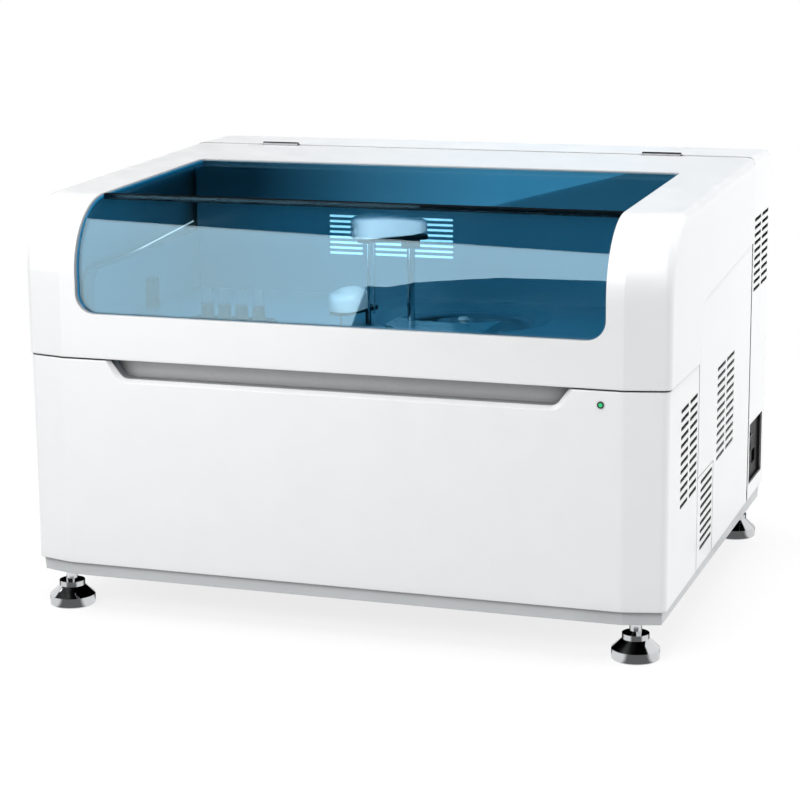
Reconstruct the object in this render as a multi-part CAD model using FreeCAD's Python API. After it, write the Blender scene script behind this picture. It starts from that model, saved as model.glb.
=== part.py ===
import FreeCAD, Part
import math
import os

# Benchtop chemistry analyzer: a cabinet on four levelling feet under a hinged lid with a tinted window.
# Millimetres. X to the operator's right, Y to the back, Z up. The origin is on the bench, under the
# middle of the case. Every size that can be set by itself stands in a group of named values ahead of
# the functions that use it, and is written once.

V = FreeCAD.Vector
ALONG_X = V(1, 0, 0)
ALONG_Y = V(0, 1, 0)
ALONG_Z = V(0, 0, 1)
SIDES = (-1, 1)

# Case
case_depth = 700.0
case_height = 578.0
lid_width = 880.0
lid_height = 227.0
lid_overhang = 2.5
facet_width = 57.0
facet_depth = 14.0
facet_bend = 24.0
corner_radius = 12.0
edge_round = 1.2
panel_wall = 3.0
seam_gap = 2.0
overrun = 5.0
joint_gap = 1.0
fit_gap = 0.3
shaft_gap = 0.05

front_y = -case_depth / 2
rear_y = case_depth / 2
front_flat = lid_width - facet_width * 2
body_half = lid_width / 2 - lid_overhang
seam_z = case_height - lid_height
body_top_z = seam_z - seam_gap / 2
lid_low_z = seam_z + seam_gap / 2

# Levelling feet from the bench up: pad, cone, collar and the free part of the stud
pad_radius = 31.0
pad_height = 14.0
pad_bevel = 1.5
cone_height = 13.0
collar_radius = 17.5
collar_height = 7.0
stud_radius = 8.0
stud_free = 15.0
foot_front_side = 41.5
foot_rear_side = 31.5
foot_front_setback = 29.0
foot_rear_setback = 62.0

# Base tray on the feet
tray_wall = 3.0
tray_height = 43.0
plinth_low_z = pad_height + cone_height + collar_height + stud_free
tray_floor_z = plinth_low_z + tray_wall
tray_top_z = plinth_low_z + tray_height

# Lower edge of the panels, which rises a little to the rear
plinth_face = 18.0
panel_low_rise = 8.0
panel_low_front = plinth_low_z + plinth_face
panel_low_rear = panel_low_front + panel_low_rise

# Seams on the two sides
cheek_setback = 198.0
cheek_front_rise = 78.0
cheek_rear_rise = 28.6
side_rear_margin = 140.0
cheek_front_y = front_y + cheek_setback
cheek_front_z = seam_z + cheek_front_rise
cheek_rear_z = cheek_front_z + cheek_rear_rise
side_rear_y = rear_y - side_rear_margin

# Hinge line and roof of the lid
hinge_margin = 115.0
roof_step = 1.0
roof_setback = 99.0
roof_fall = 16.4
shoulder_radius = 95.0
hinge_corner = 24.0
hinge_y = rear_y - hinge_margin
hinge_z = case_height - roof_step
roof_front_y = front_y + roof_setback
roof_front_z = hinge_z - roof_fall
roof_slope = roof_fall / (hinge_y - roof_front_y)


def box(x0, x1, y0, y1, z0, z1):
    """A block between two corners."""
    return Part.makeBox(x1 - x0, y1 - y0, z1 - z0, V(x0, y0, z0))


def rod(radius, length, base, along=ALONG_Z):
    """A round bar that starts at base."""
    return Part.makeCylinder(radius, length, base, along)


def outline(points, radii):
    """A closed wire through points, with an arc of its own radius at each corner."""
    count = len(points)
    sizes = list(radii) if isinstance(radii, (list, tuple)) else [radii] * count
    starts, ends, arcs = [], [], []
    for index, corner in enumerate(points):
        back = (points[index - 1] - corner).normalize()
        ahead = (points[(index + 1) % count] - corner).normalize()
        size = sizes[index]
        if size <= 0:
            starts.append(corner)
            ends.append(corner)
            arcs.append(None)
            continue
        half = back.getAngle(ahead) / 2
        reach = size / math.tan(half)
        start = corner + back * reach
        end = corner + ahead * reach
        middle = corner + (back + ahead).normalize() * (size / math.sin(half) - size)
        starts.append(start)
        ends.append(end)
        arcs.append(Part.Arc(start, middle, end).toShape())
    edges = []
    for index in range(count):
        if arcs[index]:
            edges.append(arcs[index])
        following = starts[(index + 1) % count]
        edges.append(Part.LineSegment(ends[index], following).toShape())
    return Part.Wire(edges)


def plan_prism(points, z0, z1, radii=0):
    """An outline in X and Y, raised from z0 to z1."""
    wire = outline([V(x, y, z0) for x, y in points], radii)
    return Part.Face(wire).extrude(V(0, 0, z1 - z0))


def side_prism(points, x0, x1, radii=0):
    """An outline in Y and Z, carried from x0 to x1."""
    wire = outline([V(x0, y, z) for y, z in points], radii)
    return Part.Face(wire).extrude(V(x1 - x0, 0, 0))


def front_prism(points, y0, y1, radii=0):
    """An outline in X and Z, carried from y0 to y1."""
    wire = outline([V(x, y0, z) for x, z in points], radii)
    return Part.Face(wire).extrude(V(0, y1 - y0, 0))


def turned(points, centre):
    """A closed outline of radius and height, turned about the vertical line through centre."""
    x, y = centre
    wire = Part.makePolygon([V(x + r, y, z) for r, z in points + points[:1]])
    return Part.Face(wire).revolve(V(x, y, 0), ALONG_Z, 360)


def rectangle(x0, x1, y0, y1):
    """The four corners of a rectangle, in order."""
    return [(x0, y0), (x1, y0), (x1, y1), (x0, y1)]


def joined(pieces):
    """One solid from pieces that touch or overlap."""
    whole = pieces[0].fuse(pieces[1:]) if len(pieces) > 1 else pieces[0]
    return whole.removeSplitter()


def mirrored(shape):
    """The same piece on the other side of the middle plane."""
    return shape.mirror(V(0, 0, 0), ALONG_X)


def on_circle(centre, radius, angle):
    """The point at that angle, in degrees, on a circle."""
    turn = math.radians(angle)
    return (centre[0] + radius * math.cos(turn), centre[1] + radius * math.sin(turn))


def save(name, shapes):
    """Writes one sub-part, which may be a group of separate solids."""
    pieces = shapes if isinstance(shapes, list) else [shapes]
    solids = [solid for piece in pieces for solid in piece.Solids]
    for solid in solids:
        if not solid.isValid():
            print("not valid:", name)
    whole = solids[0] if len(solids) == 1 else Part.makeCompound(solids)
    whole.exportStep("parts/" + name + ".step")
    size = whole.BoundBox
    print(name, len(solids), "solids", round(whole.Volume / 1000, 1), "cm3",
          [round(v, 1) for v in (size.XMin, size.XMax, size.YMin, size.YMax, size.ZMin, size.ZMax)])


def roof_z(y):
    """Height of the lid's flat roof at a depth."""
    return hinge_z - roof_slope * (hinge_y - y)


def panel_low_z(y):
    """Height of the panels' lower edge at a depth."""
    share = (y - front_y) / case_depth
    return panel_low_front + share * (panel_low_rear - panel_low_front)


def cheek_z(y):
    """Height of the sloping seam on the side at a depth."""
    share = (y - cheek_front_y) / (side_rear_y - cheek_front_y)
    return cheek_front_z + share * (cheek_rear_z - cheek_front_z)


def case_outline(half_width, inset):
    """The plan of the case: a flat front, two shallow facets at its corners and straight sides."""
    front = front_y + inset
    facet = front + facet_depth
    flat = front_flat / 2
    side = half_width - inset
    return [(-side, rear_y), (-side, facet), (-flat, front), (flat, front), (side, facet), (side, rear_y)]


def case_block(half_width, inset, z0, z1):
    """The case's plan raised between two heights, smaller by inset all round the front and sides."""
    bend = facet_bend - inset
    corner = corner_radius - inset
    radii = (0, corner, bend, bend, corner, 0)
    return plan_prism(case_outline(half_width, inset), z0, z1, radii)


def above_low_edge(rise, z1):
    """All that lies above the panels' lower edge, raised by rise, up to z1."""
    start = front_y - overrun
    end = rear_y + overrun
    points = [(start, panel_low_z(start) + rise), (end, panel_low_z(end) + rise), (end, z1), (start, z1)]
    return side_prism(points, -lid_width, lid_width)


# Vent slots: rows of slanting slots in blocks, each block given by its front end, its lowest slot,
# the length of a slot, the number of columns and the number of rows
vent_pitch = 11.3
vent_slot_width = 5.2
vent_column_gap = 9.0
vent_tilt = 1.7
vent_round_share = 0.49
front_vent_setback, front_vent_drop, front_vent_length, front_vent_rows = 88.0, 168.9, 45.5, 12
middle_vent_setback, middle_vent_drop, middle_vent_length, middle_vent_rows = 123.5, 160.1, 54.5, 12
low_vent_setback, low_vent_rise, low_vent_length, low_vent_rows = 20.6, 25.7, 75.0, 9
rear_vent_setback, rear_vent_drop, rear_vent_length, rear_vent_rows = 16.5, 193.7, 49.5, 10
front_vent = (front_y + front_vent_setback, seam_z - front_vent_drop, front_vent_length, 2, front_vent_rows)
middle_vent = (cheek_front_y + middle_vent_setback, seam_z - middle_vent_drop, middle_vent_length, 2,
               middle_vent_rows)
low_vent = (cheek_front_y + low_vent_setback, panel_low_front + low_vent_rise, low_vent_length, 1,
            low_vent_rows)
rear_vent = (side_rear_y + rear_vent_setback, hinge_z - rear_vent_drop, rear_vent_length, 2, rear_vent_rows)


def vent_slots(block, side):
    """The slot cutters of one vent block, through the panel on one side."""
    first_y, first_z, length, columns, rows = block
    inner = side * (body_half - panel_wall - overrun)
    outer = side * (body_half + overrun)
    rise = math.tan(math.radians(vent_tilt)) * length
    cutters = []
    for column in range(columns):
        y = first_y + column * (length + vent_column_gap)
        for row in range(rows):
            z = first_z + row * vent_pitch + column * rise
            points = [(y, z), (y + length, z + rise)]
            points += [(y + length, z + rise + vent_slot_width), (y, z + vent_slot_width)]
            cutters.append(side_prism(points, inner, outer, vent_slot_width * vent_round_share))
    return cutters


# Front cover
cover_flange = 12.0
recess_margin = 126.4
recess_slant = 17.6
recess_height = 23.5
recess_depth = 22.0
recess_corner = 15.0
recess_bevel = 5.0
lamp_margin = 85.5
lamp_drop = 18.9
lamp_bezel_radius = 4.3
lamp_barrel_radius = 3.6
lamp_lens_radius = 2.7
recess_top_half = lid_width / 2 - recess_margin
recess_low_half = recess_top_half - recess_slant
lamp_x = lid_width / 2 - lamp_margin
lamp_z = seam_z - lamp_drop


def recess_outline(grow):
    """The finger recess seen from the front: a shallow pan with slanting ends, larger by grow."""
    low = body_top_z - recess_height - grow
    high = body_top_z + overrun
    slope = recess_slant / recess_height
    top_half = recess_top_half + grow + slope * overrun
    low_half = recess_low_half + grow
    return [(-low_half, low), (low_half, low), (top_half, high), (-top_half, high)]


def recess_wire(grow, y):
    """The recess outline as a wire at a depth."""
    points = [V(x, y, z) for x, z in recess_outline(grow)]
    round_low = recess_corner + grow
    return outline(points, (round_low, round_low, 0, 0))


def recess_block(grow, y0, y1):
    """The recess outline carried from y0 to y1."""
    return Part.Face(recess_wire(grow, y0)).extrude(V(0, y1 - y0, 0))


def cover_region(y0, y1):
    """The slice of the case between two depths."""
    return box(-lid_width, lid_width, y0, y1, 0, case_height)


def softened(shape, chosen):
    """The shape with the edges that a test picks by their bounding box made round."""
    edges = [edge for edge in shape.Edges if chosen(edge.BoundBox)]
    return shape.makeFillet(edge_round, edges)


def front_cover():
    """A moulded cover that wraps the front and both front corners, with a finger recess at its top."""
    top = body_top_z
    end = cheek_front_y - seam_gap / 2
    outer = case_block(body_half, 0, 0, top).common(above_low_edge(0, top))
    outer = outer.common(cover_region(front_y - overrun, end))
    outer = softened(outer, lambda size: size.ZLength < overrun or size.YMin > end - fit_gap)
    hollow = case_block(body_half, panel_wall, 0, top - panel_wall)
    mouth = plan_prism(case_outline(body_half, panel_wall + cover_flange), 0, top + overrun)
    shell = outer.cut([hollow, mouth])
    back = front_y + recess_depth
    bowl = recess_block(panel_wall, front_y, back + panel_wall)
    trimmed = bowl.common(box(-lid_width, lid_width, front_y - overrun, rear_y, 0, top))
    shell = shell.fuse(trimmed)
    bevel_wires = [recess_wire(recess_bevel, front_y), recess_wire(0, front_y + recess_bevel)]
    cutters = [recess_block(0, front_y - overrun, back), Part.makeLoft(bevel_wires, True, True)]
    lamp_start = V(lamp_x, front_y - overrun, lamp_z)
    cutters.append(rod(lamp_barrel_radius + fit_gap, overrun * 2 + panel_wall, lamp_start, ALONG_Y))
    for side in SIDES:
        cutters += vent_slots(front_vent, side)
    return shell.cut(cutters)


def lamp_bezel():
    """The dark ring that holds the status lamp, with a barrel through the cover."""
    proud = panel_wall / 3
    flange = rod(lamp_bezel_radius, proud, V(lamp_x, front_y - proud, lamp_z), ALONG_Y)
    barrel = rod(lamp_barrel_radius, panel_wall * 3, V(lamp_x, front_y, lamp_z), ALONG_Y)
    bore = rod(lamp_lens_radius, panel_wall * 6, V(lamp_x, front_y - panel_wall, lamp_z), ALONG_Y)
    return joined([flange, barrel]).cut(bore)


def status_lamp():
    """The green lens: a short rod with a domed end."""
    radius = lamp_lens_radius - shaft_gap
    stem = rod(radius, panel_wall * 3, V(lamp_x, front_y, lamp_z), ALONG_Y)
    dome = Part.makeSphere(radius, V(lamp_x, front_y, lamp_z))
    dome = dome.common(box(lamp_x - radius, lamp_x + radius, front_y - radius / 2, front_y, 0, case_height))
    return joined([stem, dome])


# Side panels, with a lower grille for the air filter in each
grille_length = 103.0
grille_height = 129.0
grille_lip = 7.0
panel_fold = 11.0
grille_rear_y = cheek_front_y + grille_length
grille_top_z = panel_low_front + grille_height


def side_region(y0, y1, top_points):
    """The side wall between two depths, up to a line of points, down to the lower edge."""
    low = [(y1, panel_low_z(y1)), (y0, panel_low_z(y0))]
    return side_prism(top_points + low, body_half - panel_wall, body_half)


def grille_block(grow):
    """The place of the filter grille in the right side wall."""
    y0 = cheek_front_y + seam_gap / 2 - grow
    y1 = grille_rear_y + grow
    low = panel_low_z(y0) - grow
    points = [(y0, low), (y1, low), (y1, grille_top_z + grow), (y0, grille_top_z + grow)]
    return side_prism(points, body_half - panel_wall - grow, body_half + grow)


def side_panel():
    """The right side panel: a sheet that stands up as a cheek beside the lid, folded in at its ends."""
    y0 = cheek_front_y + seam_gap / 2
    y1 = side_rear_y - seam_gap / 2
    top = [(y0, cheek_z(y0) - seam_gap / 2), (y1, cheek_z(y1) - seam_gap / 2)]
    sheet = softened(side_region(y0, y1, top), lambda size: size.XMin > body_half - fit_gap)
    folds = []
    for start, low_z in ((y0, grille_top_z + joint_gap), (y1 - panel_wall, tray_top_z + joint_gap)):
        high_z = cheek_z(start) - cover_flange
        folds.append(box(body_half - panel_fold, body_half, start, start + panel_wall, low_z, high_z))
    cutters = vent_slots(middle_vent, 1) + [grille_block(joint_gap)]
    return joined([sheet] + folds).cut(cutters)


def filter_grille():
    """The right filter grille: a lift-out slotted plate, held by a lip behind the side panel."""
    y0 = cheek_front_y + seam_gap / 2
    top = [(y0, grille_top_z), (grille_rear_y, grille_top_z)]
    plate = softened(side_region(y0, grille_rear_y, top), lambda size: size.XMin > body_half - fit_gap)
    inner = body_half - panel_wall
    back = inner - panel_wall
    low = tray_top_z + joint_gap
    seat = box(back, inner, grille_rear_y - grille_lip, grille_rear_y, low, grille_top_z)
    tab = box(back, inner - fit_gap, grille_rear_y, grille_rear_y + grille_lip, low, grille_top_z)
    return joined([plate, seat, tab]).cut(vent_slots(low_vent, 1))


# Rear cover and rear panel
rear_corner = 11.0
rear_rim = 16.0
inlet_margin = 26.0
inlet_length = 100.5
inlet_rise = 29.0
inlet_height = 90.5
hinge_length = 57.0
hinge_side = 142.5
hinge_radius = 4.5
hinge_pin_radius = 2.0
hinge_play = 1.5
inlet_rear_y = rear_y - inlet_margin
inlet_front_y = inlet_rear_y - inlet_length
inlet_low_z = panel_low_front + inlet_rise
inlet_high_z = inlet_low_z + inlet_height
hinge_x = lid_width / 2 - hinge_side


def hinge_notch():
    """The gaps in the lid and the rear cover that the two hinges turn in."""
    half = hinge_length / 2 + joint_gap
    reach = hinge_radius + hinge_play
    gaps = []
    for side in SIDES:
        x = side * hinge_x
        low = hinge_z - hinge_radius * 3
        gaps.append(box(x - half, x + half, hinge_y - reach, hinge_y + reach, low, case_height))
    return gaps


def ahead_of_hinge(shift):
    """All that lies ahead of the line between lid and rear cover, moved back by shift."""
    side = lid_width / 2
    wide = side + overrun
    y0 = side_rear_y + shift
    y1 = hinge_y + shift
    front = front_y - overrun
    inner = side - overrun / 2
    points = [(-wide, front), (wide, front), (wide, y0), (inner, y0), (inner, y1)]
    points += [(-inner, y1), (-inner, y0), (-wide, y0)]
    radii = (0, 0, 0, 0, hinge_corner - fit_gap, hinge_corner - fit_gap, 0, 0)
    return plan_prism(points, 0, case_height + overrun, radii)


def rear_block(inset):
    """The rear end of the case, round along its top and rear edges, smaller by inset."""
    half = body_half - inset
    top = case_height - inset
    low = panel_low_front - overrun
    radius = corner_radius - inset
    start = side_rear_y - overrun
    points = [(-half, low), (half, low), (half, top), (-half, top)]
    block = front_prism(points, start, rear_y - inset, (0, 0, radius, radius))
    back = [edge for edge in block.Edges if edge.BoundBox.YMin > rear_y - inset - fit_gap
            and edge.BoundBox.ZMax > low + fit_gap]
    return block.makeFillet(rear_corner - inset, back)


def rear_cover():
    """The rear cover: a hood over the back of the case, open to the front, below and behind."""
    shell = rear_block(0).cut(rear_block(panel_wall))
    shell = shell.common(above_low_edge(0, case_height))
    rim = rear_rim + panel_wall
    window = box(rim - body_half, body_half - rim, rear_y - rim, rear_y + overrun, 0, case_height - rim)
    inlet = box(body_half - panel_wall * 2, body_half + overrun, inlet_front_y, inlet_rear_y,
                inlet_low_z, inlet_high_z)
    cutters = [ahead_of_hinge(seam_gap / 2), window, inlet] + hinge_notch()
    for side in SIDES:
        cutters += vent_slots(rear_vent, side)
    return shell.cut(cutters)


# Fan, hose fittings and data port in the rear panel
fan_side = 197.5
fan_rise = 158.0
fan_size = 120.0
fan_depth = 25.0
fan_bore_radius = 57.0
fan_guard_pitch = 9.0
fan_guard_slot = 5.0
fitting_side = 257.5
fitting_rise = 58.0
fitting_pitch = 40.0
fitting_radius = 6.0
fitting_length = 18.0
fitting_count = 4
fitting_nut_share = 1.6
fitting_barb_share = 0.7
port_side = 107.5
port_rise = 238.0
port_width = 42.0
port_height = 16.0
rear_screw_rows = 3
fan_x = fan_side - body_half
fan_z = tray_top_z + fan_rise
fitting_x = body_half - fitting_side
fitting_z = tray_top_z + fitting_rise
port_x = body_half - port_side
port_z = tray_top_z + port_rise


def rear_sheet_y():
    """Front and back faces of the rear panel's sheet."""
    back = rear_y - panel_wall - fit_gap
    return back - panel_wall / 2, back


def rear_screw_points():
    """Where the rear panel's screws stand, in X and Z."""
    half = body_half - panel_wall - rear_rim / 2
    low = panel_low_z(rear_y) + rear_rim
    high = case_height - panel_wall - rear_rim / 2
    points = []
    for row in range(rear_screw_rows):
        z = low + (high - low) * row / (rear_screw_rows - 1)
        points += [(side * half, z) for side in SIDES]
    return points


def rear_panel():
    """The back sheet, with a slotted grille before the fan, tube fittings' holes and a port's hole."""
    y0, y1 = rear_sheet_y()
    half = body_half - panel_wall - rear_corner
    top = case_height - panel_wall - rear_corner
    sheet = box(-half, half, y0, y1, panel_low_z(rear_y) + fit_gap, top)
    cutters = []
    rows = int(fan_bore_radius * 2 / fan_guard_pitch)
    for row in range(rows):
        z = fan_z + (row - (rows - 1) / 2) * fan_guard_pitch
        reach = math.sqrt(fan_bore_radius ** 2 - (abs(z - fan_z) + fan_guard_slot / 2) ** 2)
        cutters.append(box(fan_x - reach, fan_x + reach, y0 - overrun, y1 + overrun,
                           z - fan_guard_slot / 2, z + fan_guard_slot / 2))
    for index in range(fitting_count):
        x = fitting_x + index * fitting_pitch
        cutters.append(rod(fitting_radius + fit_gap, overrun * 3, V(x, y0 - overrun, fitting_z), ALONG_Y))
    cutters.append(box(port_x - port_width / 2, port_x + port_width / 2, y0 - overrun, y1 + overrun,
                       port_z - port_height / 2, port_z + port_height / 2))
    return sheet.cut(cutters)


def rear_fittings():
    """Barbed water and waste fittings through the back sheet, and the data port beside them."""
    y0, y1 = rear_sheet_y()
    pieces = []
    for index in range(fitting_count):
        x = fitting_x + index * fitting_pitch
        start = V(x, y0 - panel_wall, fitting_z)
        nut = rod(fitting_radius * fitting_nut_share, panel_wall, start, ALONG_Y)
        body = rod(fitting_radius, panel_wall * 2, start, ALONG_Y)
        tip_radius = fitting_radius * fitting_barb_share
        barb = Part.makeCone(fitting_radius, tip_radius, fitting_length - panel_wall,
                             V(x, y0 + panel_wall, fitting_z), ALONG_Y)
        room = rear_y - y0 - panel_wall - fit_gap
        end = y0 + panel_wall + room
        barb = barb.common(box(x - fitting_radius, x + fitting_radius, y0, end, 0, case_height))
        bore = rod(fitting_radius / 2, fitting_length * 2, V(x, y0 - fitting_length, fitting_z), ALONG_Y)
        pieces.append(joined([nut, body, barb]).cut(bore))
    half_w = port_width / 2 - fit_gap
    half_h = port_height / 2 - fit_gap
    port = box(port_x - half_w, port_x + half_w, y0 - fitting_length, y1, port_z - half_h, port_z + half_h)
    pieces.append(port)
    return pieces


# Power inlet in the right end of the rear cover
inlet_recess = 6.0
inlet_plate = 3.0
socket_width = 27.0
socket_height = 20.0
socket_depth = 16.0
socket_margin = 35.0
socket_rise = 30.0
socket_corner = 4.0
switch_margin = 67.0
switch_centre_rise = 57.0
switch_width = 18.0
switch_height = 28.0
switch_depth = 9.0
switch_rise = 3.5
switch_pin_radius = 1.5
switch_pin_length = 2.0
inlet_face_x = body_half - inlet_recess
socket_y = inlet_rear_y - socket_margin
socket_z = inlet_low_z + socket_rise
switch_y = inlet_rear_y - switch_margin
switch_z = inlet_low_z + switch_centre_rise


def inlet_housing():
    """The black inlet module: an open box behind the cover's cut-out, with the socket and switch well."""
    wall = inlet_plate
    y0, y1 = inlet_front_y, inlet_rear_y
    z0, z1 = inlet_low_z, inlet_high_z
    inner = inlet_face_x - inlet_plate
    outside = body_half - panel_wall
    tray = box(inner, outside - fit_gap, y0 - wall, y1 + wall, z0 - wall, z1 + wall)
    tray = tray.cut(box(inlet_face_x, body_half, y0, y1, z0, z1))
    half_w = socket_width / 2
    half_h = socket_height / 2
    deep = inlet_face_x - socket_depth
    socket = box(deep - wall, inner, socket_y - half_w - wall, socket_y + half_w + wall,
                 socket_z - half_h - wall, socket_z + half_h + wall)
    points = rectangle(socket_y - half_w, socket_y + half_w, socket_z - half_h, socket_z + half_h)
    cavity = side_prism(points, deep, inlet_face_x + wall, (0, 0, socket_corner, socket_corner))
    well_w = switch_width / 2
    well_h = switch_height / 2
    well_deep = inlet_face_x - switch_depth * 2
    well = box(well_deep - wall, inner, switch_y - well_w - wall, switch_y + well_w + wall,
               switch_z - well_h - wall, switch_z + well_h + wall)
    room = box(well_deep, inlet_face_x + wall, switch_y - well_w, switch_y + well_w,
               switch_z - well_h - joint_gap, switch_z + well_h + joint_gap)
    pin_hole = switch_pins(switch_pin_radius + shaft_gap, joint_gap)
    return joined([tray, socket, well]).cut([cavity, room, pin_hole])


def switch_pivot():
    """The axis that the rocker turns on, as X and Z."""
    return inlet_face_x - switch_depth / 2, switch_z


def switch_pins(radius, extra):
    """The bar that the rocker turns on, reaching into the well's walls on both sides."""
    x, z = switch_pivot()
    half = switch_width / 2 + switch_pin_length + extra
    return rod(radius, half * 2, V(x, switch_y - half, z), ALONG_Y)


def power_switch():
    """The rocker on its pins, with one end pressed in."""
    x, z = switch_pivot()
    half_h = switch_height / 2 - joint_gap * 2
    half_w = switch_width / 2 - fit_gap
    face = switch_depth / 2
    points = [(x - face, z - half_h / 2), (x + face - switch_rise / 2, z - half_h), (x + face, z)]
    points += [(x + face + switch_rise, z + half_h), (x - face, z + half_h / 2)]
    rocker = front_prism(points, switch_y - half_w, switch_y + half_w)
    return joined([rocker, switch_pins(switch_pin_radius, 0)])


# Lid
lid_wall = 3.0
lid_lip = 12.0
lid_lip_length = 150.0
window_margin = 80.0
window_rise = 60.5
window_corner = 26.0
window_rear_margin = 161.0
window_rear_corner = 9.0
window_return = 9.0
pane_sink = 1.5
pane_setback = 6.0
pane_thickness = 4.0
strip_width = 6.5
lid_lip_rear_y = front_y + lid_lip_length
window_half = lid_width / 2 - window_margin
window_low_z = seam_z + window_rise
window_rear_y = hinge_y - window_rear_margin
strip_y = roof_front_y


def lid_profile(x, front, inset):
    """The lid's outline from the side as a wire at x, with its front wall at a depth of its own."""
    low = body_top_z - cover_flange
    far = rear_y
    points = [V(x, front, low), V(x, far, low)]
    points += [V(x, far, roof_z(far) - inset), V(x, front, roof_z(front) - inset)]
    return outline(points, (0, 0, 0, shoulder_radius - inset))


def lid_envelope(inset):
    """The lid's outer form, closed below, smaller by inset."""
    front = front_y + inset
    flat = front_flat / 2
    side = lid_width / 2 - inset
    pieces = [Part.Face(lid_profile(-flat, front, inset)).extrude(V(front_flat, 0, 0))]
    for way in SIDES:
        wires = [lid_profile(way * flat, front, inset), lid_profile(way * side, front + facet_depth, inset)]
        pieces.append(Part.makeLoft(wires, True, True))
    body = joined(pieces)
    edges = []
    for edge in body.Edges:
        size = edge.BoundBox
        on_side = max(abs(size.XMin), abs(size.XMax)) > side - fit_gap and size.XLength < fit_gap
        if on_side and size.ZMax > body_top_z and size.YMin < rear_y - fit_gap:
            edges.append(edge)
    return body.makeFillet(corner_radius - inset, edges)


def below_lid():
    """The space under the lid's lower edge: level at the front, then a step up and a slope to the rear."""
    step_y = cheek_front_y - seam_gap / 2
    end = rear_y + overrun
    rise = seam_gap / 2
    points = [(front_y - overrun, 0), (end, 0), (end, cheek_z(end) + rise)]
    points += [(step_y, cheek_z(step_y) + rise), (step_y, lid_low_z), (front_y - overrun, lid_low_z)]
    return side_prism(points, -lid_width, lid_width)


def window_block(shrink):
    """All that lies behind the window's outline: a front part with round lower corners and a roof part."""
    half = window_half - shrink
    low = window_low_z + shrink
    high = case_height + overrun
    corner = window_corner - shrink
    front = front_prism([(-half, low), (half, low), (half, high), (-half, high)],
                        front_y - overrun, roof_front_y, (corner, corner, 0, 0))
    rear = window_rear_y - shrink
    radius = window_rear_corner
    roof = plan_prism(rectangle(-half, half, roof_front_y, rear), roof_front_z - shoulder_radius / 2, high,
                      (0, 0, radius, radius))
    return front.fuse(roof)


def set_back(inset):
    """The lid's outer form, smaller by inset and moved back to where the panes stand."""
    form = lid_envelope(inset)
    form.translate(V(0, pane_setback, 0))
    return form


def lid_shell():
    """The lid's moulded hood, with its window opening and the return that frames it."""
    outer = lid_envelope(0)
    inner = lid_envelope(lid_wall)
    shell = outer.cut(inner)
    frame = outer.cut(set_back(window_return)).common(window_block(-lid_wall))
    shell = shell.fuse(frame)
    lip = inner.common(box(-lid_width, lid_width, front_y, lid_lip_rear_y, lid_low_z, lid_low_z + lid_wall))
    mouth = plan_prism(case_outline(lid_width / 2, lid_wall + lid_lip), 0, case_height)
    lip = lip.cut(mouth)
    shell = shell.fuse(lip)
    shell = shell.common(ahead_of_hinge(-seam_gap / 2))
    shell = shell.cut([below_lid(), window_block(0)] + hinge_notch())
    return shell


def pane_sheet():
    """The curved sheet that both panes are cut from, below the roof's surface and behind the front's."""
    return set_back(pane_sink).cut(set_back(pane_sink + pane_thickness)).common(window_block(fit_gap))


def window_front():
    """The front pane: upright, and bent back over the shoulder."""
    end = strip_y - strip_width / 2 - fit_gap
    return pane_sheet().common(cover_region(front_y - overrun, end))


def window_top():
    """The roof pane."""
    start = strip_y + strip_width / 2 + fit_gap
    return pane_sheet().common(cover_region(start, rear_y))


def window_strip():
    """The black strip that seals the joint of the two panes."""
    half = window_half - fit_gap
    high = set_back(pane_sink / 2)
    low = set_back(pane_sink + pane_thickness + panel_wall)
    bar = box(-half, half, strip_y - strip_width / 2, strip_y + strip_width / 2, 0, case_height)
    return high.cut(low).common(bar)


# Hinges
hinge_leaf = 2.5
hinge_leaf_reach = 27.0
hinge_web = 3.5
knuckle_share = 0.3
hinge_bore = hinge_pin_radius + shaft_gap


def hinge_part(side, outer):
    """One half of a hinge: the two outer knuckles with the fixed leaf, or the middle one with the lid's."""
    x = side * hinge_x
    end = hinge_length / 2
    split = hinge_length * (0.5 - knuckle_share)
    spans = [(-end, -split - fit_gap), (split + fit_gap, end)] if outer else [(-split, split)]
    low = hinge_z - hinge_radius - panel_wall
    pieces = []
    for start, stop in spans:
        pieces.append(rod(hinge_radius, stop - start, V(x + start, hinge_y, hinge_z), ALONG_X))
        y0 = hinge_y if outer else hinge_y - hinge_web
        pieces.append(box(x + start, x + stop, y0, y0 + hinge_web, low, hinge_z))
    if outer:
        top = case_height - panel_wall - fit_gap
        pieces.append(box(x - end, x + end, hinge_y, hinge_y + hinge_leaf_reach, low, low + hinge_leaf))
        inner_y = hinge_y + hinge_radius + hinge_play * 2
        pieces.append(box(x - end, x + end, inner_y, hinge_y + hinge_leaf_reach, low, top))
    else:
        end = split
        pieces.append(box(x - end, x + end, hinge_y - hinge_leaf_reach, hinge_y, low, low + hinge_leaf))
        start_y = hinge_y - hinge_leaf_reach
        top = roof_z(start_y) - lid_wall - fit_gap
        stop_y = hinge_y - hinge_radius - hinge_play * 2
        pieces.append(box(x - end, x + end, start_y, stop_y, low, top))
    bore = rod(hinge_bore, hinge_length * 2, V(x - hinge_length, hinge_y, hinge_z), ALONG_X)
    return joined(pieces).cut(bore)


def hinge_pins():
    """The two hinge pins."""
    pins = []
    for side in SIDES:
        start = side * hinge_x - hinge_length / 2
        pins.append(rod(hinge_pin_radius, hinge_length, V(start, hinge_y, hinge_z), ALONG_X))
    return pins


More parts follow.
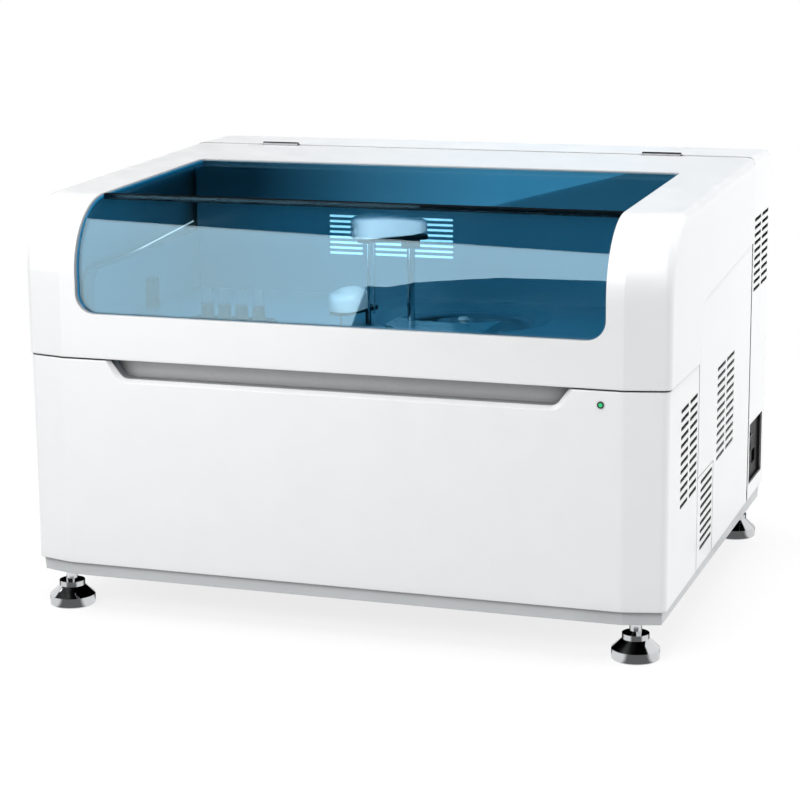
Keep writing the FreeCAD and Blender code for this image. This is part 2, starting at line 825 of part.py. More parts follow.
# Base tray's taper, its bosses and where the feet stand
plinth_low_inset = 7.0
plinth_top_inset = 6.0
boss_radius = 12.0
boss_height = 26.0
foot_front_x = body_half - foot_front_side
foot_rear_x = body_half - foot_rear_side
foot_front_y = front_y + foot_front_setback
foot_rear_y = rear_y - foot_rear_setback
feet = {
    "foot_front_left": (-foot_front_x, foot_front_y),
    "foot_front_right": (foot_front_x, foot_front_y),
    "foot_rear_left": (-foot_rear_x, foot_rear_y),
    "foot_rear_right": (foot_rear_x, foot_rear_y),
}


def plinth_points(inset, z):
    """The plan of the base tray at a height, closed at the rear, inset from the panels."""
    corners = case_outline(body_half, inset)
    rear = rear_y - inset
    return [V(x, min(y, rear), z) for x, y in corners]


def tapered_tray(grow):
    """The tray's body: it widens upwards to just inside the panels."""
    low = plinth_low_z + grow
    bend = panel_low_front
    sections = [(plinth_low_inset + grow, low), (plinth_top_inset + grow, bend)]
    wires = []
    for inset, z in sections:
        corners = plinth_points(inset, z)
        wires.append(Part.makePolygon(corners + corners[:1]))
    foot = Part.makeLoft(wires, True, True)
    points = [(p.x, p.y) for p in plinth_points(plinth_top_inset + grow, bend)]
    top = plan_prism(points, bend, tray_top_z + grow)
    return foot.fuse(top)


def foot_boss(centre):
    """A welded boss in the tray, trimmed to the tray's walls, that a foot's stud is screwed through."""
    body = rod(boss_radius, boss_height, V(centre[0], centre[1], tray_floor_z))
    return body.common(tapered_tray(tray_wall))


def base_tray():
    """The folded steel tray that the cabinet is built on, with a welded boss for each foot's stud."""
    shell = tapered_tray(0).cut(tapered_tray(tray_wall))
    shell = joined([shell] + [foot_boss(centre) for centre in feet.values()])
    holes = [rod(stud_radius + shaft_gap, case_height, V(x, y, 0)) for x, y in feet.values()]
    return shell.cut(holes)


def levelling_foot(centre):
    """A levelling foot: a turned pad with a cone and a collar, on its stud."""
    cone_top = pad_height + cone_height
    collar_top = cone_top + collar_height
    stud_top = tray_floor_z + boss_height
    points = [(0, 0), (pad_radius - pad_bevel, 0), (pad_radius, pad_bevel), (pad_radius, pad_height)]
    points += [(collar_radius, cone_top), (collar_radius, collar_top), (stud_radius, collar_top)]
    points += [(stud_radius, stud_top), (0, stud_top)]
    return turned(points, centre)


# Deck: the white tub under the lid
deck_rise = 7.0
deck_wall = 3.0
deck_front_gap = 3.5
deck_margin = 19.5
deck_rear_gap = 20.0
deck_top_drop = 18.0
deck_front_drop = 12.0
cheek_lead = 26.0
cheek_height = 80.0
cheek_rise = 9.0
cheek_corner = 24.0
deck_z = seam_z + deck_rise
deck_front_y = front_y + recess_depth + panel_wall + deck_front_gap
deck_half = body_half - deck_margin
deck_rear_y = side_rear_y - deck_rear_gap
deck_rear_top = case_height - deck_top_drop
cheek_outer = body_half - panel_wall - fit_gap
cheek_start_y = cheek_front_y - cheek_lead
cheek_low_top = deck_z + cheek_height
cheek_high_top = cheek_low_top + cheek_rise

# Louvre in the deck's rear wall: three blocks of slots, with the gap after each block
louvre_left_x = -203.0
louvre_widths = (53.0, 51.0, 60.0)
louvre_gaps = (20.0, 12.0, 0.0)
louvre_rise = 61.0
louvre_pitch = 8.0
louvre_slot = 3.6
louvre_rows = 8
louvre_low_z = deck_z + louvre_rise

# Reagent well in the deck
reagent_x = 54.0
reagent_margin = 145.0
dish_radius = 128.0
dish_low_radius = 104.0
dish_drop = 11.0
dish_ledge_radius = 94.0
reagent_centre = (reagent_x, deck_rear_y - reagent_margin)

# Places of the other parts on the deck, from the reagent well's centre
reaction_left, reaction_ahead = 134.0, 223.0
rack_left, rack_ahead = 290.0, 156.0
probe_left, probe_ahead = 43.0, 105.0
mixer_left, mixer_ahead = 116.0, 79.0
wash_ahead = 125.0


def from_reagent(left, ahead):
    """A place on the deck, to the left and ahead of the reagent well's centre."""
    return (reagent_centre[0] - left, reagent_centre[1] - ahead)


# Reaction rotor's opening in the deck
reaction_opening = 101.0
reaction_centre = from_reagent(reaction_left, reaction_ahead)

# Sample rack's well in the deck
rack_length = 118.0
rack_width = 30.0
rack_drop = 36.0
rack_rise = 12.0
rack_gap = 1.2
rack_flange = 5.0
rack_flange_wall = 1.5
rack_x, rack_y = from_reagent(rack_left, rack_ahead)
rack_low_z = deck_z - rack_drop
rack_top_z = deck_z + rack_rise

# Columns of the arms
probe_column_radius = 5.5
mixer_column_radius = 4.0
wash_column_radius = 5.0
column_gap = 0.08
probe_column = from_reagent(probe_left, probe_ahead)
mixer_column = from_reagent(mixer_left, mixer_ahead)
wash_column = (reaction_centre[0], reaction_centre[1] - wash_ahead)


def deck_cheek():
    """The right cheek of the tub: a wall with a flange out to the side panel along its top and front."""
    near = deck_half + fit_gap / 3
    end = deck_rear_y - fit_gap / 3
    low = deck_z - deck_wall
    points = [(cheek_start_y, cheek_low_top), (end, cheek_high_top), (end, low), (cheek_start_y, low)]
    block = side_prism(points, near, cheek_outer, (cheek_corner, 0, 0, 0))
    start = cheek_start_y + deck_wall
    far = end + overrun
    inner = [(start, cheek_low_top - deck_wall), (far, cheek_high_top - deck_wall), (far, 0), (start, 0)]
    radii = (cheek_corner - deck_wall, 0, 0, 0)
    return block.cut(side_prism(inner, near + deck_wall, body_half + overrun, radii))


def deck_louvres():
    """The slot cutters of the louvre in the rear wall."""
    cutters = []
    start, end = deck_rear_y - overrun, deck_rear_y + deck_wall + overrun
    x = louvre_left_x
    for width, gap in zip(louvre_widths, louvre_gaps):
        for row in range(louvre_rows):
            z = louvre_low_z + row * louvre_pitch
            points = rectangle(x, x + width, z, z + louvre_slot)
            cutters.append(front_prism(points, start, end, louvre_slot * vent_round_share))
        x += width + gap
    return cutters


def rack_place(grow, z0, z1):
    """The sample rack's place, larger by grow."""
    half_l = rack_length / 2 + grow
    half_w = rack_width / 2 + grow
    return box(rack_x - half_l, rack_x + half_l, rack_y - half_w, rack_y + half_w, z0, z1)


def deck_dish():
    """The shallow dish round the reagent tray, with the ledge that its cover lies on."""
    low = deck_z - dish_drop
    wall = deck_wall
    points = [(dish_radius, deck_z), (dish_low_radius, low), (dish_ledge_radius, low)]
    points += [(dish_ledge_radius, low - wall), (dish_low_radius + wall, low - wall)]
    points += [(dish_radius + wall, deck_z - wall), (dish_radius + wall, deck_z)]
    return turned(points, reagent_centre)


def column_holes():
    """The holes that the three columns pass through, as cutters."""
    low = deck_z - dish_drop * 3
    height = dish_drop * 6
    cutters = []
    for centre, radius in ((probe_column, probe_column_radius), (mixer_column, mixer_column_radius),
                           (wash_column, wash_column_radius)):
        cutters.append(rod(radius + joint_gap, height, V(centre[0], centre[1], low)))
    return cutters


def deck_liner():
    """The tub under the lid: deck and rear wall, with the openings that the rotors and the rack stand in."""
    low = deck_z - deck_wall
    floor = box(-deck_half, deck_half, deck_front_y, deck_rear_y + deck_wall, low, deck_z)
    lip_end = deck_front_y + deck_wall
    lip = box(-deck_half, deck_half, deck_front_y, lip_end, deck_z - deck_front_drop, deck_z)
    wide = deck_half + deck_wall
    wall = box(-wide, wide, deck_rear_y, deck_rear_y + deck_wall, low, deck_rear_top)
    tub = floor.fuse([lip, wall])
    x, y = reagent_centre
    tub = tub.cut(rod(dish_radius, dish_drop * 3, V(x, y, deck_z - dish_drop * 2)))
    tub = tub.fuse(deck_dish())
    x, y = reaction_centre
    cutters = [rod(reaction_opening, deck_wall * 4, V(x, y, deck_z - deck_wall * 3))]
    cutters.append(rack_place(rack_gap + deck_wall + fit_gap / 3, deck_z - deck_wall * 2, deck_z + overrun))
    return tub.cut(cutters + column_holes() + deck_louvres()).removeSplitter()


def rack_well():
    """The well that the sample rack stands in: an open box hung in the deck by its flange."""
    gap = rack_gap
    flange = rack_place(gap + rack_flange, deck_z + fit_gap / 3, deck_z + fit_gap / 3 + rack_flange_wall)
    pocket = rack_place(gap + deck_wall, rack_low_z - deck_wall, deck_z + fit_gap)
    return joined([flange, pocket]).cut(rack_place(gap, rack_low_z, deck_z + overrun))


louvre_margin = 8.0
light_thickness = 5.0


def louvre_light():
    """The flat white light panel behind the louvre."""
    x0 = louvre_left_x - louvre_margin
    x1 = louvre_left_x + sum(louvre_widths) + sum(louvre_gaps) + louvre_margin
    z1 = louvre_low_z + louvre_rows * louvre_pitch + louvre_margin
    y0 = deck_rear_y + deck_wall + fit_gap
    return box(x0, x1, y0, y0 + light_thickness, louvre_low_z - louvre_margin, z1)


# Guide brackets on the cheeks
bracket_width = 11.0
bracket_depth = 23.0
bracket_height = 45.0
bracket_setback = 154.0
bracket_wall = 2.0
bracket_round = 9.0
bracket_screw_drop = 9.0
screw_radius = 3.2
screw_height = 2.2
cross_length_share = 0.6
cross_width_share = 0.18
cross_depth_share = 0.6
bracket_y = cheek_front_y + bracket_setback


def guide_bracket():
    """The upright channel on the left cheek, round at its top corners, open towards the cheek."""
    x0 = -deck_half + fit_gap
    x1 = x0 + bracket_width
    y0, y1 = bracket_y - bracket_depth / 2, bracket_y + bracket_depth / 2
    z1 = deck_z + bracket_height
    radii = (0, 0, bracket_round, bracket_round)
    block = side_prism(rectangle(y0, y1, deck_z, z1), x0, x1, radii)
    wall = bracket_wall
    round_in = bracket_round - wall
    points = rectangle(y0 + wall, y1 - wall, deck_z - overrun, z1 - wall)
    return block.cut(side_prism(points, x0 - overrun, x1 - wall, (0, 0, round_in, round_in)))


def pan_head(base, along):
    """A pan-head screw's head with a cross recess."""
    head = rod(screw_radius, screw_height, base, along)
    half = screw_radius * cross_length_share
    thin = screw_radius * cross_width_share
    centre = base + V(along).multiply(screw_height)
    deep = screw_height * cross_depth_share
    if abs(along.x) > abs(along.y):
        sizes = ((deep, half, thin), (deep, thin, half))
    else:
        sizes = ((half, deep, thin), (thin, deep, half))
    slots = [box(centre.x - a, centre.x + a, centre.y - b, centre.y + b, centre.z - c, centre.z + c)
             for a, b, c in sizes]
    return head.cut(slots)


def case_screws():
    """The screws of the guide brackets and of the rear panel."""
    heads = []
    face = deck_half - fit_gap - bracket_width
    z = deck_z + bracket_height - bracket_screw_drop
    for side in SIDES:
        heads.append(pan_head(V(side * face, bracket_y, z), V(-side, 0, 0)))
    for x, z in rear_screw_points():
        heads.append(pan_head(V(x, rear_y, z), ALONG_Y))
    return heads


# Sample rack
sleeve_radius = 9.0
sleeve_height = 19.0
tube_radius = 6.5
tube_wall = 0.9
tube_floor = 14.0
tube_length = 75.0
tube_pitch = 26.0
tube_count = 4
tube_bore_gap = 0.25
tube_low_z = rack_low_z + tube_floor
tube_top_z = tube_low_z + tube_length


def tube_centres():
    """The places of the tubes in the rack."""
    first = rack_x - tube_pitch * (tube_count - 1) / 2
    return [(first + index * tube_pitch, rack_y) for index in range(tube_count)]


def tube_rack():
    """The black rack: a block in the deck's well, with a raised sleeve round each tube."""
    block = rack_place(0, rack_low_z + fit_gap, rack_top_z)
    sleeves = [rod(sleeve_radius, sleeve_height, V(x, y, rack_top_z)) for x, y in tube_centres()]
    bore_radius = tube_radius + tube_bore_gap
    bores = [rod(bore_radius, case_height, V(x, y, tube_low_z - fit_gap)) for x, y in tube_centres()]
    return joined([block] + sleeves).cut(bores)


def sample_tubes():
    """Open glass tubes with round bottoms."""
    tubes = []
    for x, y in tube_centres():
        centre = V(x, y, tube_low_z + tube_radius)
        straight = tube_length - tube_radius
        inside = tube_radius - tube_wall
        outer = Part.makeSphere(tube_radius, centre).fuse(rod(tube_radius, straight, centre))
        inner = Part.makeSphere(inside, centre).fuse(rod(inside, straight + overrun, centre))
        tubes.append(outer.cut(inner))
    return tubes


# Reagent tray, its bowl, bottles and cover
bowl_wall = 3.0
bowl_depth = 118.0
tray_radius = 91.0
tray_disc_rise = 12.0
tray_disc = 5.0
tray_rim_height = 30.0
hub_radius = 24.0
hub_height = 73.0
bottle_count = 14
bottle_inner_radius = 34.0
bottle_height = 76.0
bottle_gap = 2.0
bottle_wall_gap = 3.5
neck_radius = 7.0
neck_height = 10.0
neck_bore = 1.9
neck_bore_depth = 60.0
neck_place_share = 2.2
cap_share = 1.25
reagent_cover_radius = 102.5
reagent_cover_thickness = 3.0
cover_knob_radius = 8.0
cover_knob_height = 9.0
knob_waist_share = 0.6
knob_brim_share = 0.6
knob_top_share = 0.8
swirl_radius = 82.0
swirl_inner_radius = 62.0
swirl_shift = 17.0
spindle_radius = 6.0
motor_size = 57.0
motor_height = 60.0
bowl_low_z = deck_z - bowl_depth
tray_disc_z = bowl_low_z + tray_disc_rise
hub_top_z = tray_disc_z + hub_height


def reagent_bowl():
    """The cooled bowl under the deck, with a flange below the dish's ledge."""
    top = deck_z - dish_drop - deck_wall
    inner = dish_ledge_radius - joint_gap / 2
    outer = inner + bowl_wall
    bore = spindle_radius + joint_gap
    points = [(bore, bowl_low_z), (outer, bowl_low_z), (outer, top), (inner, top)]
    points += [(inner, bowl_low_z + bowl_wall), (bore, bowl_low_z + bowl_wall)]
    return turned(points, reagent_centre)


def reagent_tray():
    """The turning tray: a disc with a rim, a hub and dividers, on its spindle."""
    low = tray_disc_z
    deck = low + tray_disc
    rim_in = tray_radius - bowl_wall / 2
    end = bowl_low_z - motor_size / 4
    points = [(0, end), (spindle_radius, end)]
    points += [(spindle_radius, low), (tray_radius, low), (tray_radius, deck + tray_rim_height)]
    points += [(rim_in, deck + tray_rim_height), (rim_in, deck), (hub_radius, deck), (hub_radius, hub_top_z)]
    points += [(0, hub_top_z)]
    return turned(points, reagent_centre)


def bottle_outline():
    """The wedge-shaped plan of one bottle, about the tray's centre, pointing along X."""
    half = math.radians(180 / bottle_count)
    inner = bottle_inner_radius
    outer = tray_radius - bottle_wall_gap
    side = bottle_gap / 2
    points = [(inner * math.cos(half), -inner * math.sin(half) + side)]
    points += [(outer * math.cos(half), -outer * math.sin(half) + side)]
    points += [(outer * math.cos(half), outer * math.sin(half) - side)]
    points += [(inner * math.cos(half), inner * math.sin(half) - side)]
    return points


def reagent_bottles():
    """Wedge-shaped reagent bottles, each with its neck and cap, standing on the tray."""
    base = tray_disc_z + tray_disc + fit_gap
    top = base + bottle_height
    neck_x = tray_radius - bottle_wall_gap - neck_radius * neck_place_share
    bottles = []
    for index in range(bottle_count):
        body = plan_prism(bottle_outline(), base, top, bottle_gap)
        neck = rod(neck_radius, neck_height / 2, V(neck_x, 0, top))
        cap = rod(neck_radius * cap_share, neck_height / 2, V(neck_x, 0, top + neck_height / 2))
        mouth = rod(neck_bore, neck_bore_depth, V(neck_x, 0, top + neck_height - neck_bore_depth))
        bottle = joined([body, neck, cap]).cut(mouth)
        bottle.rotate(V(0, 0, 0), ALONG_Z, 360 * index / bottle_count)
        bottle.translate(V(reagent_centre[0], reagent_centre[1], 0))
        bottles.append(bottle)
    return bottles


def cover_rest_z():
    """Underside of the reagent cover, on its ledge."""
    return deck_z - dish_drop + fit_gap / 3


def reagent_cover():
    """The clear cover: a disc with a crescent-shaped opening that the probe reaches through."""
    x, y = reagent_centre
    low = cover_rest_z()
    disc = rod(reagent_cover_radius, reagent_cover_thickness, V(x, y, low))
    crescent = rod(swirl_radius, deck_wall * 4, V(x, y, low - deck_wall))
    keep_at = V(x + swirl_shift, y + swirl_shift / 3, low - deck_wall * 2)
    keep = rod(swirl_inner_radius, deck_wall * 6, keep_at)
    start, end = low - overrun, low + overrun * 2
    bridge = box(x, x + swirl_radius * 2, y - swirl_radius, y + swirl_radius / 4, start, end)
    hole = rod(spindle_radius / 2 + fit_gap, overrun * 3, V(x, y, low - overrun))
    return disc.cut(crescent.cut([keep, bridge])).cut(hole)


def cover_knob():
    """The knob that lifts the reagent cover, with its stem through the disc."""
    low = cover_rest_z() + reagent_cover_thickness
    stem_low = cover_rest_z() - reagent_cover_thickness
    waist = cover_knob_radius * knob_waist_share
    top = low + cover_knob_height
    points = [(0, stem_low), (spindle_radius / 2, stem_low), (spindle_radius / 2, low), (waist, low)]
    points += [(waist, low + cover_knob_height / 3)]
    points += [(cover_knob_radius, low + cover_knob_height * knob_brim_share)]
    points += [(cover_knob_radius * knob_top_share, top), (0, top)]
    return turned(points, reagent_centre)


# Reaction rotor, its bath and cuvettes
rotor_radius = 95.8
rotor_drop = 8.0
rotor_thickness = 7.0
cuvette_count = 36
cuvette_radius = 90.0
cuvette_size = 9.0
cuvette_bore = 6.6
cuvette_drop = 28.0
cuvette_proud = 1.0
cuvette_first_angle = 62.0
bath_inner_radius = 80.0
bath_outer_radius = 100.0
bath_wall = 3.0
bath_depth = 8.0
optics_length = 46.0
optics_width = 34.0
optics_height = 32.0
rotor_hub_radius = 14.0
rotor_knob_height = 6.0
rotor_top_z = deck_z - rotor_drop
cuvette_low_z = rotor_top_z - cuvette_drop
bath_low_z = cuvette_low_z - bath_depth


def cuvette_block(size, z0, z1, angle):
    """A square post on the rotor's ring of cuvettes, at an angle."""
    x, y = reaction_centre
    half = size / 2
    post = box(cuvette_radius - half, cuvette_radius + half, -half, half, z0, z1)
    post.rotate(V(0, 0, 0), ALONG_Z, angle)
    post.translate(V(x, y, 0))
    return post


def cuvette_angles():
    """The angle of each cuvette."""
    return [cuvette_first_angle + 360 * index / cuvette_count for index in range(cuvette_count)]


def optics_block():
    """The photometer's optics block against the bath's outer wall, with its lamp house."""
    wall_x = reaction_centre[0] - bath_outer_radius - bath_wall / 2
    y = reaction_centre[1]
    low = bath_low_z - optics_height / 2
    start = wall_x - optics_length
    half = optics_width / 2
    block = box(start, wall_x, y - half, y + half, low, low + optics_height)
    lamp = rod(optics_width / 3, optics_height, V(start + half, y, low - optics_height / 2))
    return [block, lamp]


def reaction_bath():
    """The warm ring-shaped bath that the cuvettes hang in, with the photometer's block on its wall."""
    inner = bath_inner_radius
    outer = bath_outer_radius
    wall = bath_wall
    low = bath_low_z
    top = deck_z - deck_wall
    bore = spindle_radius + joint_gap
    points = [(bore, low), (outer + wall, low), (outer + wall, top), (outer, top), (outer, low + wall)]
    points += [(inner, low + wall), (inner, low + wall * 3), (inner - wall, low + wall * 3)]
    points += [(inner - wall, low + wall), (bore, low + wall)]
    return joined([turned(points, reaction_centre)] + optics_block())


def reaction_rotor():
    """The reaction rotor: a disc with a pocket for each cuvette, and its spindle."""
    low = rotor_top_z - rotor_thickness
    end = bath_low_z - motor_size / 4
    points = [(0, end), (spindle_radius, end), (spindle_radius, low - rotor_thickness)]
    points += [(rotor_hub_radius, low - rotor_thickness), (rotor_hub_radius, low), (rotor_radius, low)]
    points += [(rotor_radius, rotor_top_z), (rotor_hub_radius, rotor_top_z)]
    points += [(rotor_hub_radius, rotor_top_z + rotor_knob_height), (0, rotor_top_z + rotor_knob_height)]
    disc = turned(points, reaction_centre)
    pockets = [cuvette_block(cuvette_size + fit_gap, 0, case_height, angle) for angle in cuvette_angles()]
    return disc.cut(pockets)


def cuvettes():
    """Clear square cuvettes, open above."""
    pieces = []
    floor = cuvette_low_z + bath_wall / 2
    for angle in cuvette_angles():
        post = cuvette_block(cuvette_size, cuvette_low_z, rotor_top_z + cuvette_proud, angle)
        pieces.append(post.cut(cuvette_block(cuvette_bore, floor, case_height, angle)))
    return pieces


def rotor_motors():
    """The geared motors under the two rotors, each bored for its spindle."""
    motors = []
    half = motor_size / 2
    for centre, floor in ((reagent_centre, bowl_low_z), (reaction_centre, bath_low_z)):
        x, y = centre
        high = floor - joint_gap
        plan = rectangle(x - half, x + half, y - half, y + half)
        body = plan_prism(plan, high - motor_height, high, motor_size / 10)
        bore = rod(spindle_radius + column_gap, motor_height, V(x, y, high - motor_size / 4))
        motors.append(body.cut(bore))
    return motors


# Platform under the probe arm
platform_rise = 12.0
platform_left, platform_right = 69.0, 78.0
platform_ahead, platform_near = 173.0, 45.0
platform_corner = 6.0
platform_gap = 3.0
platform_top_z = deck_z + platform_rise


def arm_platform():
    """The raised plate that the probe's column comes up through, cut round the reagent tray's cover."""
    x, y = reagent_centre
    points = rectangle(x - platform_left, x + platform_right, y - platform_ahead, y - platform_near)
    plate = plan_prism(points, deck_z + fit_gap / 3, platform_top_z, platform_corner)
    opening = rod(dish_low_radius + platform_gap, platform_top_z, V(x, y, deck_z - dish_drop))
    rotor_x, rotor_y = reaction_centre
    clear = rod(reaction_opening + platform_gap, platform_top_z, V(rotor_x, rotor_y, 0))
    bore = rod(probe_column_radius + column_gap, platform_top_z, V(probe_column[0], probe_column[1], 0))
    pieces = plate.cut([opening, clear, bore]).Solids
    return max(pieces, key=lambda piece: piece.Volume)


# Probe arm
head_rise = 126.0
head_height = 36.0
head_front_half = 15.0
head_rear_half = 12.0
head_rear_reach = 26.0
head_base = 6.0
head_rear_drop = 13.0
head_nose_share = 1.4
head_flat_share = 0.35
head_slope_share = 1.6
arm_corner_share = 0.9
collar_half = 11.0
collar_depth = 11.0
needle_radius = 2.0
needle_tip_radius = 0.7
needle_tip_length = 5.0
needle_fine_radius = 1.5
needle_fine_length = 32.0
needle_rise = 14.0
sensor_radius = 1.1
sensor_gap = 8.2
sensor_rise = 25.0
carriage_size = 24.0
carriage_height = 26.0
carriage_drop = 108.0
rail_size = 12.0
rail_gap = 0.4
head_low_z = deck_z + head_rise
needle_low_z = deck_z + needle_rise
sensor_low_z = deck_z + sensor_rise
carriage_z = deck_z - carriage_drop


def arm_angle(column, target):
    """The direction from a column to a target, in degrees."""
    return math.degrees(math.atan2(target[1] - column[1], target[0] - column[0]))


def probe_target():
    """The cuvette that the needle stands over."""
    return on_circle(reaction_centre, cuvette_radius, cuvette_first_angle)


def placed(shape, column, angle):
    """A shape made along X about the origin, turned and moved onto a column."""
    moved = shape.copy()
    moved.rotate(V(0, 0, 0), ALONG_Z, angle)
    moved.translate(V(column[0], column[1], 0))
    return moved


def arm_plan(front_reach, rear_reach, front_half, rear_half):
    """The plan of an arm's hood about its column: blunt and round ahead, narrower behind."""
    front = [(front_reach, -front_half), (front_reach, front_half)]
    return [(-rear_reach, -rear_half)] + front + [(-rear_reach, rear_half)]


def arm_corners(front_half, rear_half):
    """The corner radii that go with an arm's plan."""
    front, rear = front_half * arm_corner_share, rear_half * arm_corner_share
    return (rear, front, front, rear)


def probe_needle_reach():
    """How far the needle stands from the column, which is how far the cuvette is."""
    x, y = probe_target()
    return math.hypot(x - probe_column[0], y - probe_column[1])


def probe_head():
    """The white hood of the probe arm: blunt ahead, with a back that slopes down to the rear."""
    ahead = probe_needle_reach() + head_front_half * head_nose_share
    front, rear = head_front_half, head_rear_half
    low = head_low_z + head_base
    high = head_low_z + head_height
    body = plan_prism(arm_plan(ahead, head_rear_reach, front, rear), low, high, arm_corners(front, rear))
    start, flat = -head_rear_reach - overrun, ahead * head_flat_share
    slope = [(start, high - head_rear_drop * head_slope_share), (flat, high + overrun / 2)]
    slope += [(flat, high + overrun * 3), (start, high + overrun * 3)]
    body = body.cut(front_prism(slope, -front * 2, front * 2))
    side_low = low + head_height / 4
    edges = [edge for edge in body.Edges if edge.BoundBox.ZMin > low + fit_gap]
    soft = body.makeFillet(front / 3, edges)
    hollow_plan = arm_plan(ahead - lid_wall, head_rear_reach - lid_wall, front - lid_wall, rear - lid_wall)
    hollow = plan_prism(hollow_plan, low - overrun, side_low)
    return placed(soft.cut(hollow), probe_column, arm_angle(probe_column, probe_target()))


def probe_base():
    """The black base plate of the probe arm, its collar and the clamp round the column."""
    reach = probe_needle_reach()
    inset = lid_wall / 2
    front, rear = head_front_half - inset, head_rear_half - inset
    plan = arm_plan(reach + head_front_half, head_rear_reach - inset, front, rear)
    plate = plan_prism(plan, head_low_z, head_low_z + head_base - fit_gap, arm_corners(front, rear))
    half = collar_half
    collar = plan_prism(rectangle(-half, half, -half, half), head_low_z - collar_depth, head_low_z, half / 3)
    holes = []
    for radius, x in ((probe_column_radius, 0), (needle_radius, reach), (sensor_radius, reach - sensor_gap)):
        holes.append(rod(radius, case_height, V(x, 0, 0)))
    core = joined([plate, collar]).cut(holes)
    return placed(core, probe_column, arm_angle(probe_column, probe_target()))


def probe_column_bar():
    """The polished column of the probe arm, down to its carriage."""
    x, y = probe_column
    top = head_low_z + head_base + fit_gap
    return rod(probe_column_radius, top - carriage_z, V(x, y, carriage_z))


def probe_needles():
    """The sampling needle with its fine tip, and the shorter level sensor beside it."""
    reach = probe_needle_reach()
    top = head_low_z + head_base - fit_gap
    tip = needle_low_z
    fine_top = tip + needle_fine_length
    points = [(0, tip), (needle_tip_radius, tip), (needle_fine_radius, tip + needle_tip_length)]
    points += [(needle_fine_radius, fine_top), (needle_radius, fine_top + needle_tip_length)]
    points += [(needle_radius, top)]
    needle = turned(points + [(0, top)], (reach, 0))
    sensor = rod(sensor_radius, top - sensor_low_z, V(reach - sensor_gap, 0, sensor_low_z))
    angle = arm_angle(probe_column, probe_target())
    return [placed(piece, probe_column, angle) for piece in (needle, sensor)]


def carriage(column, radius, low, size):
    """A lift carriage: a block that carries a column's foot and runs on an upright rail behind it."""
    x, y = column
    half = size / 2
    body = box(x - half, x + half, y - half, y + half, low - carriage_height + radius, low + radius)
    socket = rod(radius + column_gap, carriage_height, V(x, y, low))
    return body.cut(socket)


def carriage_rail(column, size, low, high):
    """The upright rail beside a carriage, with a running gap."""
    x, y = column
    x0 = x + size / 2 + rail_gap
    return box(x0, x0 + rail_size / 2, y - rail_size / 2, y + rail_size / 2, low, high)


# Mixer arm
mixer_rise = 26.0
mixer_hood_height = 33.0
mixer_hood_half = 19.0
mixer_front_extra = 20.0
mixer_rear_extra = 15.0
mixer_base = 5.0
mixer_size = 26.0
mixer_carriage_drop = 93.0
mixer_rear_share = 0.85
mixer_rear_round_share = 0.8
mixer_front_round_share = 0.95
mixer_flat_share = 0.35
mixer_nose_share = 0.35
mixer_plate_share = 0.8
mixer_plate_nose_share = 0.6
mixer_places_on = 3
paddle_rod_radius = 1.3
paddle_width = 3.0
paddle_thickness = 1.0
paddle_height = 9.0
paddle_rise = 3.0
mixer_hood_low_z = deck_z + mixer_rise
mixer_carriage_z = deck_z - mixer_carriage_drop
paddle_low_z = deck_z + paddle_rise


def mixer_target():
    """The cuvette that the paddle stands over, some places on from the needle's."""
    angle = cuvette_first_angle + mixer_places_on * 360 / cuvette_count
    return on_circle(reaction_centre, cuvette_radius, angle)


def mixer_reach():
    """How far the paddle stands from the mixer's column."""
    x, y = mixer_target()
    return math.hypot(x - mixer_column[0], y - mixer_column[1])


def mixer_hood():
    """The mixer's white hood: a domed shell, highest over its column, that falls to its nose."""
    front = mixer_reach() + mixer_front_extra
    low = mixer_hood_low_z
    high = low + mixer_hood_height
    half = mixer_hood_half
    rear_half = half * mixer_rear_share
    rear_round, front_round = half * mixer_rear_round_share, half * mixer_front_round_share
    plan = arm_plan(front, mixer_rear_extra, half, rear_half)
    body = plan_prism(plan, low, high, (rear_round, front_round, front_round, rear_round))
    flat, end = front * mixer_flat_share, front + overrun
    slope = [(flat, high + overrun / 4), (end, low + mixer_hood_height * mixer_nose_share)]
    slope += [(end, high + overrun * 3), (flat, high + overrun * 3)]
    body = body.cut(front_prism(slope, -half * 2, half * 2))
    edges = [edge for edge in body.Edges if edge.BoundBox.ZMin > low + fit_gap]
    body = body.makeFillet(half / 3, edges)
    wall = lid_wall
    room = wall * 3 / 2
    hollow_plan = arm_plan(front - wall * 3, mixer_rear_extra - wall, half - room, rear_half - room)
    hollow = plan_prism(hollow_plan, low - overrun, low + mixer_hood_height / 4)
    return placed(body.cut(hollow), mixer_column, arm_angle(mixer_column, mixer_target()))


def mixer_plate():
    """The black plate under the mixer's hood, on its column."""
    reach = mixer_reach()
    half = mixer_hood_half * mixer_plate_share
    nose = reach + mixer_front_extra * mixer_plate_nose_share
    plan = arm_plan(nose, mixer_rear_extra * mixer_plate_share, half, half * mixer_rear_share)
    top = mixer_hood_low_z - fit_gap
    plate = plan_prism(plan, top - mixer_base, top, half * mixer_plate_nose_share)
    plate = plate.cut(rod(paddle_rod_radius + column_gap, case_height, V(reach, 0, 0)))
    column = rod(mixer_column_radius, top - mixer_carriage_z - mixer_base / 2, V(0, 0, mixer_carriage_z))
    return placed(joined([plate, column]), mixer_column, arm_angle(mixer_column, mixer_target()))


def mixer_paddle():
    """The mixer's rod with its flat stirring blade."""
    reach = mixer_reach()
    high = mixer_hood_low_z + mixer_hood_height / 4 - fit_gap
    middle = paddle_low_z + paddle_height / 2
    stem = rod(paddle_rod_radius, high - middle, V(reach, 0, middle))
    half_w = paddle_width / 2
    half_t = paddle_thickness / 2
    blade = box(reach - half_w, reach + half_w, -half_t, half_t, paddle_low_z, paddle_low_z + paddle_height)
    return placed(joined([stem, blade]), mixer_column, arm_angle(mixer_column, mixer_target()))


